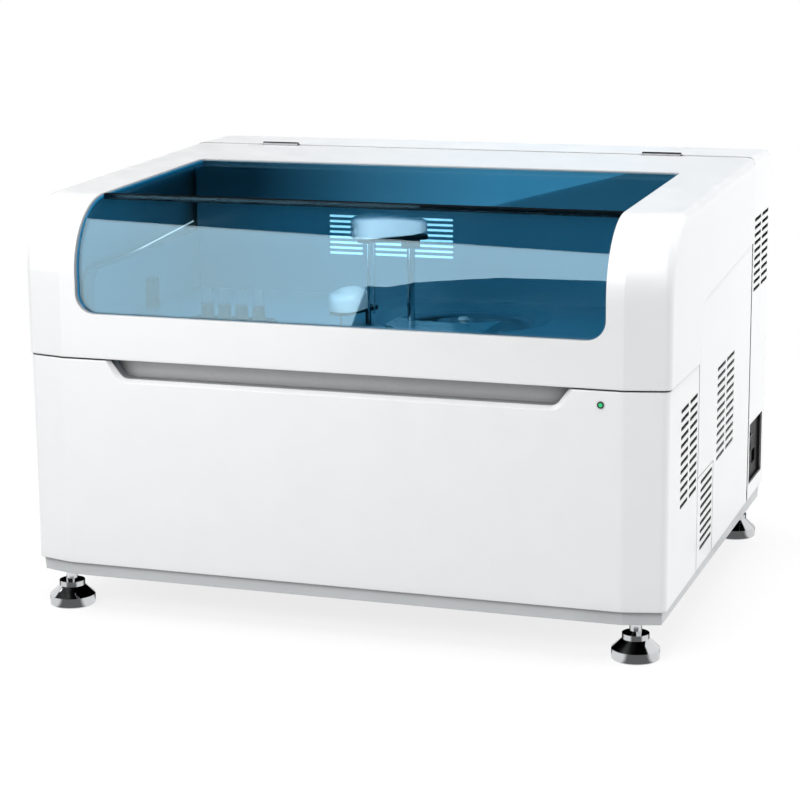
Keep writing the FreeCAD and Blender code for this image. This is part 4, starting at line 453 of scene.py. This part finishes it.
# Extruded rubber: matt black that hardly shines
SEAL = Finish("extruded_rubber", "#060607", 0.6, grain_mm=0.8, grain_depth_mm=0.01, cloud_share=0.1,
              edge_mm=0.5, specular=0.08)
# Powder-coated steel channel: slate that reads blue grey behind the tinted window
BRACKET_COAT = Finish("powder_coat_slate", "#6e757b", 0.4, grain_mm=1.5, grain_depth_mm=0.03,
                      edge_mm=0.8, edge_wear=0.5)
# Satin anodised aluminium: mid grey metal with fine lines along the hinge
HINGE_ALLOY = Finish("satin_anodised_hinge", "#6f7173", 0.42, metallic=1.0, grain_mm=1.0,
                     grain_depth_mm=0.01, cloud_share=0.05, edge_mm=0.5, lay=Lay.ALONG_X)
# Ground steel: bright grey metal with fine upright lines
STEEL = Finish("ground_steel", "#b5b7ba", 0.28, metallic=1.0, grain_mm=0.9, grain_depth_mm=0.01,
               cloud_share=0.05, lay=Lay.ALONG_Z)
# Polished and plated steel: a clean mirror that shows dark and pale bands
CHROME = Finish("polished_steel", "#d7d9db", 0.08, metallic=1.0, grain_mm=1.5, grain_depth_mm=0.002,
                cloud_share=0.03, lay=Lay.ALONG_Z)
# Bare welded steel: dull grey with mill marks
FRAME_STEEL = Finish("welded_steel", "#94979b", 0.45, metallic=0.9, grain_mm=1.5, grain_depth_mm=0.05,
                     cloud_share=0.12, edge_mm=0.8, lay=Lay.ALONG_X)
# Satin anodised aluminium, spun: an even pale grey metal
BOWL_ALLOY = Finish("satin_anodised_bowl", "#a9acae", 0.35, metallic=1.0, grain_mm=0.9,
                    grain_depth_mm=0.01, cloud_share=0.05)
# Black anodised aluminium: dark, with rims rubbed bright
ROTOR_ALLOY = Finish("black_anodised_rotor", "#232427", 0.33, metallic=0.6, grain_mm=0.8,
                     grain_depth_mm=0.01, cloud_share=0.1, edge_mm=0.5, edge_wear=0.5,
                     wear_colour="#8c8f92")
# Natural polythene, blown: milky white with a faint green
BOTTLE = Finish("natural_polythene", "#dfe2dc", 0.38, grain_mm=1.5, grain_depth_mm=0.02,
                cloud_share=0.04, edge_mm=0.8)
# Moulded nylon: blue grey satin
FITTING = Finish("blue_grey_nylon", "#54657e", 0.40, grain_mm=1.2, grain_depth_mm=0.02,
                 cloud_share=0.06, edge_mm=0.4)
# Laminate of glass cloth under green lacquer: glossy, with a cloudy weave
BOARD = Finish("green_laminate", "#1d6b3f", 0.35, coat=0.2, grain_mm=1.0, grain_depth_mm=0.03,
               cloud_share=0.15)
# Stoved enamel: smooth black
MOTOR = Finish("black_enamel", "#1d1e20", 0.30, grain_mm=1.5, grain_depth_mm=0.03, cloud_share=0.08,
               edge_mm=0.6)
# Pressed aluminium sheet: grey metal with lines from the rolls
SUPPLY = Finish("pressed_alloy_sheet", "#9fa2a5", 0.38, metallic=1.0, grain_mm=1.0,
                grain_depth_mm=0.02, cloud_share=0.06, lay=Lay.ALONG_X)
# Blue tinted acrylic: deep blue, with a painted cyan glow on its cut edges, and a hard coat that mirrors
# more than bare acrylic
WINDOW = ClearSheet("blue_tinted_acrylic", "#d0e4ee", "#2aa6dc", lamp_tint="#6aaec2", mirror="#c0dbe4",
                    ior=1.75, edge_axis=0)
# Clear acrylic: nearly unseen but for its sheen and a faint haze
COVER = ClearSheet("clear_acrylic", "#eef6fa", "#cfe6f2", body=0.10)
# Borosilicate glass, drawn: clear walls that shine at their rims
TUBE = ClearSheet("borosilicate_tube", "#f2f8fa", "#dfeaf0", ior=1.47, body=0.06)
# Opal acrylic that glows by emission: pale cyan, nearly white
LOUVRE = Glow("lit_diffuser", "#cdf5ff", 1.3)
# Green acrylic lens over a small lamp: a soft green point
LAMP = Glow("green_lamp_lens", "#20b46c", 0.55, spot_mm=3.0)


def dress(finish: Finish | ClearSheet | Glow, *names: str) -> None:
    """Gives CAD nodes their material.

    Args:
        finish: What the nodes are made of.
        names: The nodes.
    """
    material = finish.make()
    for name in names:
        data = bpy.data.objects[name].data
        data.materials.clear()
        data.materials.append(material)
    log.info("%s on %s", finish.name, ", ".join(names))


# Meshes

def link(name: str, mesh: bpy.types.Mesh) -> bpy.types.Object:
    """Puts a mesh into the scene.

    Args:
        name: Name of the object.
        mesh: Its mesh.

    Returns:
        The new object, at the origin.
    """
    piece = bpy.data.objects.new(name, mesh)
    bpy.context.scene.collection.objects.link(piece)
    return piece


def closed_rings(name: str, rings: np.ndarray) -> bpy.types.Object:
    """Skins a stack of rings, with a flat cap at each end.

    Point k of ring j makes one face with point k + 1 and with the same two points of ring j + 1.

    Args:
        name: Name of the object.
        rings: Points in millimetres, of the shape levels by points round by 3, from the bottom up and
            anticlockwise seen from above.

    Returns:
        The new object, smooth all over.
    """
    levels, count = rings.shape[:2]
    level, turn = np.meshgrid(np.arange(levels - 1), np.arange(count), indexing="ij")
    here, above = level * count, (level + 1) * count
    after = (turn + 1) % count
    sides = np.stack([here + turn, here + after, above + after, above + turn], axis=-1).reshape(-1, 4)
    last = (levels - 1) * count
    caps = [list(range(count))[::-1], list(range(last, last + count))]
    mesh = bpy.data.meshes.new(name)
    mesh.from_pydata((rings.reshape(-1, 3) * MM).tolist(), [], sides.tolist() + caps)
    mesh.polygons.foreach_set("use_smooth", [True] * len(mesh.polygons))
    mesh.update()
    return link(name, mesh)


def board(name: str, corners: list[Point]) -> bpy.types.Object:
    """Makes a flat sheet.

    Args:
        name: Name of the sheet.
        corners: Its corners in metres, in order round it.

    Returns:
        The new object.
    """
    mesh = bpy.data.meshes.new(name)
    mesh.from_pydata(corners, [], [tuple(range(len(corners)))])
    return link(name, mesh)


def upright_corners(x: Pair, y: float, z: Pair) -> list[Point]:
    """Gives the corners of a rectangle that faces the front."""
    return [(x[0], y, z[0]), (x[1], y, z[0]), (x[1], y, z[1]), (x[0], y, z[1])]


def flat_corners(x: Pair, y: Pair, z: float) -> list[Point]:
    """Gives the corners of a rectangle that lies flat."""
    return [(x[0], y[0], z), (x[1], y[0], z), (x[1], y[1], z), (x[0], y[1], z)]


# Sub-assemblies

@dataclass(frozen=True)
class VentBlock:
    """One block of vent slots in the side of the case.

    Attributes:
        name: Which block it is.
        y_mm: Its front and rear end.
        z_mm: Its lower and upper edge.
    """

    name: str
    y_mm: Pair
    z_mm: Pair


@dataclass
class Case:
    """The outer case: covers, panels, tray and what is set into them.

    Attributes:
        vent_blocks: The blocks of slots in each side, with some room round them.
        foam_face_mm: How far the foams' outer faces stand from the middle of the case.
        foam_thickness_mm: Thickness of the foams.
        pit_depth_mm: Depth of the foams' pits.
        pit_waves: Radians per millimetre of the pits' sines: along, up, and what the second takes of along.
        foam_points: Grid points along and up each foam.
    """

    vent_blocks: tuple[VentBlock, ...] = (VentBlock("front", (-268.0, -158.0), (176.0, 318.0)),
                                          VentBlock("middle", (-33.0, 94.0), (185.0, 326.0)),
                                          VentBlock("low", (-134.0, -57.5), (94.0, 192.0)),
                                          VentBlock("rear", (222.0, 340.0), (378.0, 498.0)))
    foam_face_mm: float = 434.3
    foam_thickness_mm: float = 2.0
    pit_depth_mm: float = 0.3
    pit_waves: Point = (1.7, 1.3, 0.2)
    foam_points: int = 60

    def dress(self) -> None:
        """Gives the case's nodes their finishes, and builds what stands behind its slots."""
        dress(CASE_ABS, "front_cover", "rear_cover", "filter_grilles")
        dress(PANEL_COAT, "side_panel_left", "side_panel_right", "rear_panel")
        dress(BRACKET_COAT, "guide_brackets")
        dress(TRAY_COAT, "base_tray")
        dress(BLACK_ABS, "lamp_bezel")
        dress(INLET_ABS, "inlet_housing")
        dress(SWITCH_NYLON, "power_switch")
        dress(LAMP, "status_lamp")
        dress(FITTING, "rear_fittings")
        dress(STEEL, "case_screws")
        self.foams()

    def foams(self) -> None:
        """Stands black dust foam behind each block of vent slots; its black is also painted shade for the
        depth of the slots.
        """
        material = SHADE_FOAM.make()
        for side, word in ((-1, "left"), (1, "right")):
            for block in self.vent_blocks:
                foam = self.foam(f"{block.name}_foam_{word}", side, block)
                foam.data.materials.append(material)
                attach(foam, "chassis")
                log.info("%s behind the slots", foam.name)

    def foam(self, name: str, side: int, block: VentBlock) -> bpy.types.Object:
        """Makes one dust foam: a thin sheet whose outer face is pitted and whose inner face is flat.

        The pits are as deep as the product of a sine along the sheet and a sine up it.

        Args:
            name: Name of the object.
            side: -1 for the left wall and 1 for the right.
            block: The slots that it stands behind.

        Returns:
            The new object.
        """
        y, z = np.meshgrid(np.linspace(*block.y_mm, self.foam_points),
                           np.linspace(*block.z_mm, self.foam_points))
        along, up, lean = self.pit_waves
        pits = self.pit_depth_mm * np.abs(np.sin(y * along) * np.sin(z * up + y * lean))
        outer = np.stack([side * (self.foam_face_mm - pits), y, z], axis=-1)
        flat_x = np.full_like(y, side * (self.foam_face_mm - self.foam_thickness_mm))
        inner = np.stack([flat_x, y, z], axis=-1)
        rings = np.concatenate([outer, inner[:, ::-1]], axis=1)
        return closed_rings(name, rings if side < 0 else rings[:, ::-1])


@dataclass
class Lid:
    """The hinged lid with its tinted window."""

    def dress(self) -> None:
        """Gives the lid's nodes their finishes."""
        dress(LID_ABS, "lid_shell")
        dress(WINDOW, "window_front", "window_top")
        dress(SEAL, "window_strip")
        dress(HINGE_ALLOY, "hinge_bases", "hinge_wings")
        dress(STEEL, "hinge_pins")


@dataclass(frozen=True)
class Hood:
    """A moulded hood over an arm, rounded at both ends and at its shoulder.

    Attributes:
        name: Name of the piece.
        body: Moving body that it rides on.
        node: Plainer solid that it stands in for.
        start: Middle of its left end, X and Y in millimetres, like all that follows.
        end: Middle of its right end.
        radii: Half widths at the left end, in the middle and at the right end.
        low: Height of its lower edge.
        high: Its highest point.
        rounding: Radius of the shoulder.
        crown: How far the top's middle rises above the shoulder.
        fall: How much lower the top is at the right end.
        lift: How much higher the lower edge is there.
        count: Points round its outline.
        bends: Levels on its shoulder.
    """

    name: str
    body: str
    node: str
    start: Pair
    end: Pair
    radii: Point
    low: float
    high: float
    rounding: float
    crown: float
    fall: float = 0.0
    lift: float = 0.0
    count: int = 96
    bends: int = 9

    def outline(self) -> np.ndarray:
        """Works out the hood's outline from above.

        Half circles of the first and last radius close the ends. Between them the half width goes evenly
        from one to the other, and the square of a sine takes it to the middle one half way.

        Returns:
            Points of the outline, anticlockwise.
        """
        first, last = np.array(self.start), np.array(self.end)
        left, middle, right = self.radii
        reach = np.linalg.norm(last - first)
        along = (last - first) / reach
        across = np.array([-along[1], along[0]])
        quarter = self.count // 4
        bow = np.linspace(np.pi / 2, 3 * np.pi / 2, quarter, endpoint=False)
        side = np.linspace(0, 1, quarter, endpoint=False)
        width = left * (1 - side) + right * side
        width = width + (middle - (left + right) / 2) * np.sin(np.pi * side) ** 2
        near_end = np.stack([np.cos(bow) * left, np.sin(bow) * left], axis=1)
        low_side = np.stack([side * reach, -width], axis=1)
        far_end = np.stack([reach - np.cos(bow) * right, -np.sin(bow) * right], axis=1)
        high_side = np.stack([(1 - side) * reach, width[::-1]], axis=1)
        local = np.concatenate([near_end, low_side, far_end, high_side])
        return first + local[:, :1] * along + local[:, 1:] * across

    def build(self) -> bpy.types.Object:
        """Raises the outline into the hood.

        Each level is the outline drawn in towards its middle: a little at the lower edge, by the rounding
        times one less the cosine of a quarter turn at the shoulder, and by more on the crown. Heights then
        fall by the square of the way to the right at the top, and rise by its cube at the lower edge.

        Returns:
            The new object.
        """
        plan = self.outline()
        middle = plan.mean(axis=0)
        turn = np.linspace(0, np.pi / 2, self.bends)
        shoulder = self.high - self.crown - self.rounding
        hem_heights, hem_insets = np.array([0.0, 0.6, 2.0]), np.array([1.2, 0.3, 0.0])
        crown_drops, crown_insets = np.array([0.55, 0.2, 0.0]), np.array([4.0, 8.0, 12.0])
        heights = np.concatenate([self.low + hem_heights, [(self.low + shoulder) / 2],
                                  shoulder + self.rounding * np.sin(turn),
                                  self.high - self.crown * crown_drops])
        insets = np.concatenate([hem_insets, [0.0], self.rounding * (1 - np.cos(turn)),
                                 self.rounding + crown_insets])
        reach = np.linalg.norm(plan - middle, axis=1, keepdims=True)
        inward = (middle - plan) / reach
        spread = plan[None] + inward[None] * insets[:, None, None] * (reach / reach.max())[None]
        share = (spread[..., 0] - plan[:, 0].min()) / np.ptp(plan[:, 0])
        rise = (heights[:, None] - self.low) / (self.high - self.low)
        z = heights[:, None] - self.fall * share ** 2 * rise + self.lift * share ** 3 * (1 - rise)
        return closed_rings(self.name, np.concatenate([spread, z[..., None]], axis=-1))


@dataclass
class Deck:
    """The white tub under the lid, and what stands on it.

    Attributes:
        hoods: The hoods of the sampling arm and of the mixer.
    """

    hoods: tuple[Hood, ...] = (Hood("sampling_hood", "probe_arm", "probe_head", (-40.0, -97.0),
                                    (13.0, -58.5), (22.0, 19.0, 20.5), 490.0, 521.0, rounding=7.0,
                                    crown=2.0, fall=9.0, lift=5.0),
                               Hood("mixing_hood", "mixer_arm", "mixer_hood", (-80.0, -86.0),
                                    (-70.0, -55.0), (21.5, 20.0, 17.0), 384.0, 415.0, rounding=12.0,
                                    crown=5.0))

    def dress(self) -> None:
        """Gives the deck's nodes their finishes, and builds the arms' hoods."""
        dress(TUB_ABS, "deck_liner", "deck_cheeks", "rack_well")
        dress(ARM_ABS, "arm_platform", "cover_knob")
        dress(LOUVRE, "louvre_light")
        dress(BLACK_ABS, "tube_rack", "reagent_tray", "probe_base", "mixer_plate", "wash_head")
        dress(TUBE, "sample_tubes", "syringe_barrel")
        dress(COVER, "reagent_cover", "cuvettes")
        dress(BOWL_ALLOY, "reagent_bowl", "reaction_bath", "probe_carriage", "mixer_carriage")
        dress(ROTOR_ALLOY, "reaction_rotor")
        dress(BOTTLE, "reagent_bottles")
        dress(CHROME, "probe_column", "probe_needles")
        dress(STEEL, "column_guides", "mixer_paddle", "syringe_plunger")
        self.mould_hoods()

    def mould_hoods(self) -> None:
        """Moulds the white hoods of the sampling arm and the mixer."""
        material = ARM_ABS.make()
        for hood in self.hoods:
            piece = hood.build()
            piece.data.materials.append(material)
            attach(piece, hood.body)
            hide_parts(hood.node)
            log.info("%s on %s in place of %s", hood.name, hood.body, hood.node)


@dataclass
class Works:
    """The parts inside the case: frame, supply, board, pump, motors and fan."""

    def dress(self) -> None:
        """Gives the inner nodes their finishes."""
        dress(FRAME_STEEL, "inner_frame")
        dress(SUPPLY, "power_supply")
        dress(BOARD, "control_board")
        dress(MOTOR, "fluid_pump", "rotor_motors")
        dress(BLACK_ABS, "fan_frame", "fan_rotor")


@dataclass
class Feet:
    """The four levelling feet."""

    def dress(self) -> None:
        """Gives the feet their finish."""
        dress(CHROME, "foot_front_left", "foot_front_right", "foot_rear_left", "foot_rear_right")


# Studio

@dataclass
class Viewpoint:
    """The camera.

    Attributes:
        place_mm: Where it stands.
        yaw: Its turn about the upright axis, in radians like the next two.
        pitch: How far it looks down.
        roll: Its tilt about its own line of sight.
        lens_mm: Focal length.
        sensor_mm: Width of its sensor.
        far_m: Farthest distance that it shows.
    """

    place_mm: Point = (1022.49, -3052.08, 944.19)
    yaw: float = 0.33130
    pitch: float = 0.21428
    roll: float = -0.008956
    lens_mm: float = 103.6
    sensor_mm: float = 36.0
    far_m: float = 100.0

    def build(self) -> None:
        """Makes the camera and sets it as the scene's."""
        data = bpy.data.cameras.new("viewpoint")
        data.lens = self.lens_mm
        data.sensor_width = self.sensor_mm
        data.clip_end = self.far_m
        camera = bpy.data.objects.new("viewpoint", data)
        aim = Matrix.Rotation(self.yaw, 4, "Z") @ Matrix.Rotation(np.pi / 2 - self.pitch, 4, "X")
        camera.matrix_world = (Matrix.Translation([v * MM for v in self.place_mm]) @ aim
                               @ Matrix.Rotation(self.roll, 4, "Z"))
        bpy.context.scene.collection.objects.link(camera)
        bpy.context.scene.camera = camera
        log.info("camera with a lens of %s mm", self.lens_mm)


def only_in_mirrors(sheet: bpy.types.Object) -> None:
    """Hides a sheet from all but mirrors."""
    for eye in ("camera", "diffuse", "transmission", "volume_scatter", "shadow"):
        setattr(sheet, "visible_" + eye, False)
    log.info("%s for mirrors", sheet.name)


@dataclass(frozen=True)
class SoftLamp:
    """A soft rectangular lamp that neither the eye nor a mirror sees.

    Attributes:
        name: Name of the lamp.
        place: Where it hangs, in metres.
        aim: Point that it faces.
        size: Width and height.
        watts: Its power.
    """

    name: str
    place: Point
    aim: Point
    size: Pair
    watts: float

    def hang(self) -> bpy.types.Object:
        """Hangs the lamp.

        Returns:
            The lamp's object.
        """
        data = bpy.data.lights.new(self.name, "AREA")
        data.shape = "RECTANGLE"
        data.size, data.size_y = self.size
        data.energy = self.watts
        holder = bpy.data.objects.new(self.name, data)
        bpy.context.scene.collection.objects.link(holder)
        away = Vector(self.place) - Vector(self.aim)
        holder.rotation_euler = away.to_track_quat("Z", "Y").to_euler()
        holder.location = self.place
        holder.visible_glossy = False
        holder.visible_transmission = False
        holder.visible_camera = False
        log.info("%s with %s W", self.name, self.watts)
        return holder


@dataclass(frozen=True)
class MirrorBoard:
    """A flat board that only mirrors see.

    Attributes:
        name: Name of the board.
        corners: Its corners in metres.
        light: How bright it is, with 0 for black.
        colour: Its colour.
        fade: From where to where, in X, it grows from black to its full light.
    """

    name: str
    corners: list[Point]
    light: float = 0.0
    colour: str = "#ffffff"
    fade: Pair | None = None

    def stand(self) -> None:
        """Stands the board."""
        sheet = board(self.name, self.corners)
        material, tree, output = blank(self.name)
        shine = add(tree, "Emission", {"Color": linear(self.colour), "Strength": self.light})
        if self.fade:
            parts = add(tree, "SeparateXYZ", links={0: add(tree, "TexCoord").outputs["Object"]})
            growth = add(tree, "MapRange", {"From Min": self.fade[0], "From Max": self.fade[1],
                                            "To Max": self.light}, {"Value": parts.outputs["X"]})
            tree.links.new(growth.outputs["Result"], shine.inputs["Strength"])
        tree.links.new(shine.outputs["Emission"], output.inputs["Surface"])
        sheet.data.materials.append(material)
        only_in_mirrors(sheet)


@dataclass
class Studio:
    """Pale floor, white surroundings, soft lamps, and boards and cards that only mirrors see.

    Attributes:
        ambient: Strength of the surroundings as light.
        paper: Colour of the floor as light meets it.
        floor_reach: Half the floor's width, in metres like all that follows.
        fade_from: How far out the floor starts to turn evenly white.
        fade_to: How far out it is all white.
        fade_share: Share of even white in the floor under the object.
        front_foot: Middle of the right front foot, whose left one mirrors it.
        rear_foot: The same at the back.
        tray_half: Half the tray's width and depth.
        tray_underside: Height just under the tray.
        foot_board_reach: How far the boards over the front feet reach to the left and right of the foot.
        foot_board_front: How far to the front they reach.
        viewer_turn: Direction of the viewer seen from the object, in radians.
        card_radii: Inner and outer radius of the cards round the feet.
        card_height: Height at which they lie.
        card_points: Points round each card.
        card_turns: Turns away from the viewer at which the cards' tone changes its course.
        card_tones: Tone at each of those turns.
    """

    ambient: float = 0.56
    paper: str = "#b4b4b4"
    floor_reach: float = 9.0
    fade_from: float = 0.6
    fade_to: float = 1.5
    fade_share: float = 0.8
    front_foot: Pair = (0.396, -0.321)
    rear_foot: Pair = (0.406, 0.288)
    tray_half: Pair = (0.43, 0.343)
    tray_underside: float = 0.0485
    foot_board_reach: Pair = (-0.07, 0.02)
    foot_board_front: float = -0.42
    viewer_turn: float = -1.247
    card_radii: Pair = (0.0315, 0.14)
    card_height: float = 0.0004
    card_points: int = 96
    card_turns: tuple[float, ...] = (0.62, 0.87, 1.85, 2.2)
    card_tones: tuple[float, ...] = (0.15, 0.9, 0.9, 0.06)

    def surroundings(self) -> None:
        """Makes the world: white to the eye and in mirrors, and dimmer as light."""
        world = bpy.data.worlds.new("surroundings")
        bpy.context.scene.world = world
        world.use_nodes = True
        tree = world.node_tree
        tree.nodes.clear()
        path = add(tree, "LightPath")
        seen = add(tree, "Math", operation="MAXIMUM",
                   links={0: path.outputs["Is Camera Ray"], 1: path.outputs["Is Glossy Ray"]})
        seen_all = add(tree, "Math", operation="MAXIMUM",
                       links={0: seen.outputs["Value"], 1: path.outputs["Is Transmission Ray"]})
        strength = add(tree, "MapRange", {"To Min": self.ambient, "To Max": 1.0},
                       {"Value": seen_all.outputs["Value"]})
        sky = add(tree, "Background", {"Color": WHITE}, {"Strength": strength.outputs["Result"]})
        output = add(tree, "OutputWorld")
        tree.links.new(sky.outputs["Background"], output.inputs["Surface"])

    def floor(self) -> None:
        """Lays the floor: white paper, faintly shaded under the object and evenly white away from it."""
        across = (-self.floor_reach, self.floor_reach)
        sheet = board("floor", flat_corners(across, across, 0.0))
        material, tree, output = blank("white_paper")
        path = add(tree, "LightPath")
        place = add(tree, "TexCoord").outputs["Object"]
        far = add(tree, "VectorMath", links={0: place}, operation="LENGTH")
        fade = add(tree, "MapRange", {"From Min": self.fade_from, "From Max": self.fade_to,
                                      "To Min": self.fade_share, "To Max": 1.0},
                   {"Value": far.outputs["Value"]})
        seen = add(tree, "Math", operation="MAXIMUM",
                   links={0: path.outputs["Is Camera Ray"], 1: path.outputs["Is Glossy Ray"]})
        tone = add(tree, "Mix", {FIRST: linear(self.paper), SECOND: WHITE}, {SHARE: seen.outputs["Value"]},
                   data_type="RGBA")
        paper = add(tree, "BsdfDiffuse", links={"Color": tone.outputs[MIXED]})
        white = add(tree, "Emission", {"Color": WHITE, "Strength": 1.0})
        share = add(tree, "Math", operation="MULTIPLY",
                    links={0: seen.outputs["Value"], 1: fade.outputs["Result"]})
        mixed = add(tree, "MixShader", links={0: share.outputs["Value"], 1: paper.outputs["BSDF"],
                                              2: white.outputs["Emission"]})
        tree.links.new(mixed.outputs["Shader"], output.inputs["Surface"])
        sheet.data.materials.append(material)

    def lamps(self) -> None:
        """Hangs four lamps round the object, and a small one in the chamber for the arms and the tubes in
        the rack.
        """
        middle = (0, 0, 0.3)
        SoftLamp("front_lamp", (-1.2, -3.5, 2.6), middle, (3.0, 1.5), 68).hang()
        SoftLamp("top_lamp", (0, -0.2, 3.2), middle, (2.4, 2.4), 45).hang()
        SoftLamp("side_lamp", (3.4, 1.4, 1.3), middle, (2.0, 2.0), 66).hang()
        SoftLamp("left_lamp", (-3.4, 1.4, 1.3), middle, (2.0, 2.0), 40).hang()
        inner = SoftLamp("inner_lamp", (0.06, -0.27, 0.53), (-0.05, -0.07, 0.44), (0.16, 0.05), 0.6).hang()
        lit = bpy.data.collections.new("lit_by_inner_lamp")
        for name in ("sampling_hood", "mixing_hood", "probe_column", "probe_needles", "sample_tubes",
                     "cover_knob", "mixer_paddle"):
            lit.objects.link(bpy.data.objects[name])
        inner.light_linking.receiver_collection = lit

    def window_boards(self) -> None:
        """Stands the boards that the window mirrors: its pale band, and the blue sheen of its roof."""
        bright, sky_blue = 4.6, "#5cb6e0"
        overhead = [(-4.0, 1.99, 3.0), (0.2, -2.42, 3.0), (0.2, -2.6, 3.0), (-4.0, -2.6, 3.0)]
        front = [(-4.0, -2.0, 0.0), (-0.62, -2.0, 0.0), (-0.27, -2.0, 0.87), (0.9, -2.0, 1.3),
                 (0.9, -2.0, 3.0), (-4.0, -2.0, 3.0)]
        sheen = [(-1.9, 3.0, 0.7), (-0.29, 3.0, 0.7), (-0.29, 3.0, 1.093), (-0.80, 3.0, 1.229),
                 (-1.9, 3.0, 1.52)]
        MirrorBoard("overhead_board", overhead, bright).stand()
        MirrorBoard("front_board", front, bright).stand()
        MirrorBoard("dark_front_board", upright_corners((-1.0, 0.9), -2.05, (0.0, 1.4))).stand()
        MirrorBoard("dark_roof_board", flat_corners((-4.5, 2.5), (3.2, -2.4), 3.05)).stand()
        MirrorBoard("dark_rear_board", upright_corners((-3.5, 1.5), 3.05, (0.7, 3.0))).stand()
        MirrorBoard("blue_rear_board", sheen, 0.9, sky_blue, fade=(-1.5, -0.78)).stand()
        MirrorBoard("dim_rear_board", upright_corners((-0.9, 0.4), 3.02, (0.7, 1.6)), 0.3, sky_blue).stand()

    def foot_boards(self) -> None:
        """Lays the dark boards that the tops of the feet mirror, just under the tray."""
        z = self.tray_underside
        half_width, half_depth = self.tray_half
        tray = flat_corners((-half_width, half_width), (-half_depth, half_depth), z)
        MirrorBoard("dark_under_board", tray).stand()
        left, right = self.foot_board_reach
        for x in (-self.front_foot[0], self.front_foot[0]):
            corners = flat_corners((x + left, x + right), (self.foot_board_front, -half_depth), z)
            MirrorBoard("dark_foot_board", corners).stand()

    def foot_card(self, x: float, y: float) -> None:
        """Lays a ring of card round a foot, grey towards the viewer, pale at both sides and dark behind.

        Its points lie on two circles, and its tone goes straight from one value to the next with the turn
        away from the viewer.

        Args:
            x: Middle of the foot, in metres.
            y: The same, to the back.
        """
        turn = np.linspace(-np.pi, np.pi, self.card_points, endpoint=False)
        tone = np.interp(np.abs(turn), self.card_turns, self.card_tones)
        facing = turn + self.viewer_turn
        rim = np.stack([np.cos(facing), np.sin(facing)], axis=1)
        flat = np.concatenate([rim * radius for radius in self.card_radii]) + (x, y)
        points = np.column_stack([flat, np.full(len(flat), self.card_height)])
        inner = np.arange(self.card_points)
        after = (inner + 1) % self.card_points
        faces = np.stack([inner, inner + self.card_points, after + self.card_points, after], axis=1)
        mesh = bpy.data.meshes.new("foot_card")
        mesh.from_pydata(points.tolist(), [], faces.tolist())
        mesh.attributes.new("tone", "FLOAT", "POINT").data.foreach_set("value", np.tile(tone, 2))
        card = link("foot_card", mesh)
        material, tree, output = blank("banded_card")
        shade = add(tree, "Attribute", attribute_name="tone").outputs["Fac"]
        shine = add(tree, "Emission", links={"Strength": shade})
        tree.links.new(shine.outputs["Emission"], output.inputs["Surface"])
        mesh.materials.append(material)
        only_in_mirrors(card)

    def build(self) -> None:
        """Sets up the whole studio."""
        self.surroundings()
        self.floor()
        self.lamps()
        self.window_boards()
        self.foot_boards()
        for x, y in (self.front_foot, self.rear_foot):
            self.foot_card(-x, y)
            self.foot_card(x, y)


def main() -> None:
    """Builds the scene piece by piece."""
    logging.basicConfig(level=logging.INFO, format="%(name)s: %(message)s")
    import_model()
    for part in (Case(), Lid(), Deck(), Works(), Feet()):
        log.info("the %s", type(part).__name__.lower())
        part.dress()
    Viewpoint().build()
    Studio().build()
    bpy.context.scene.view_settings.view_transform = "Standard"


if __name__ == "__main__":
    main()
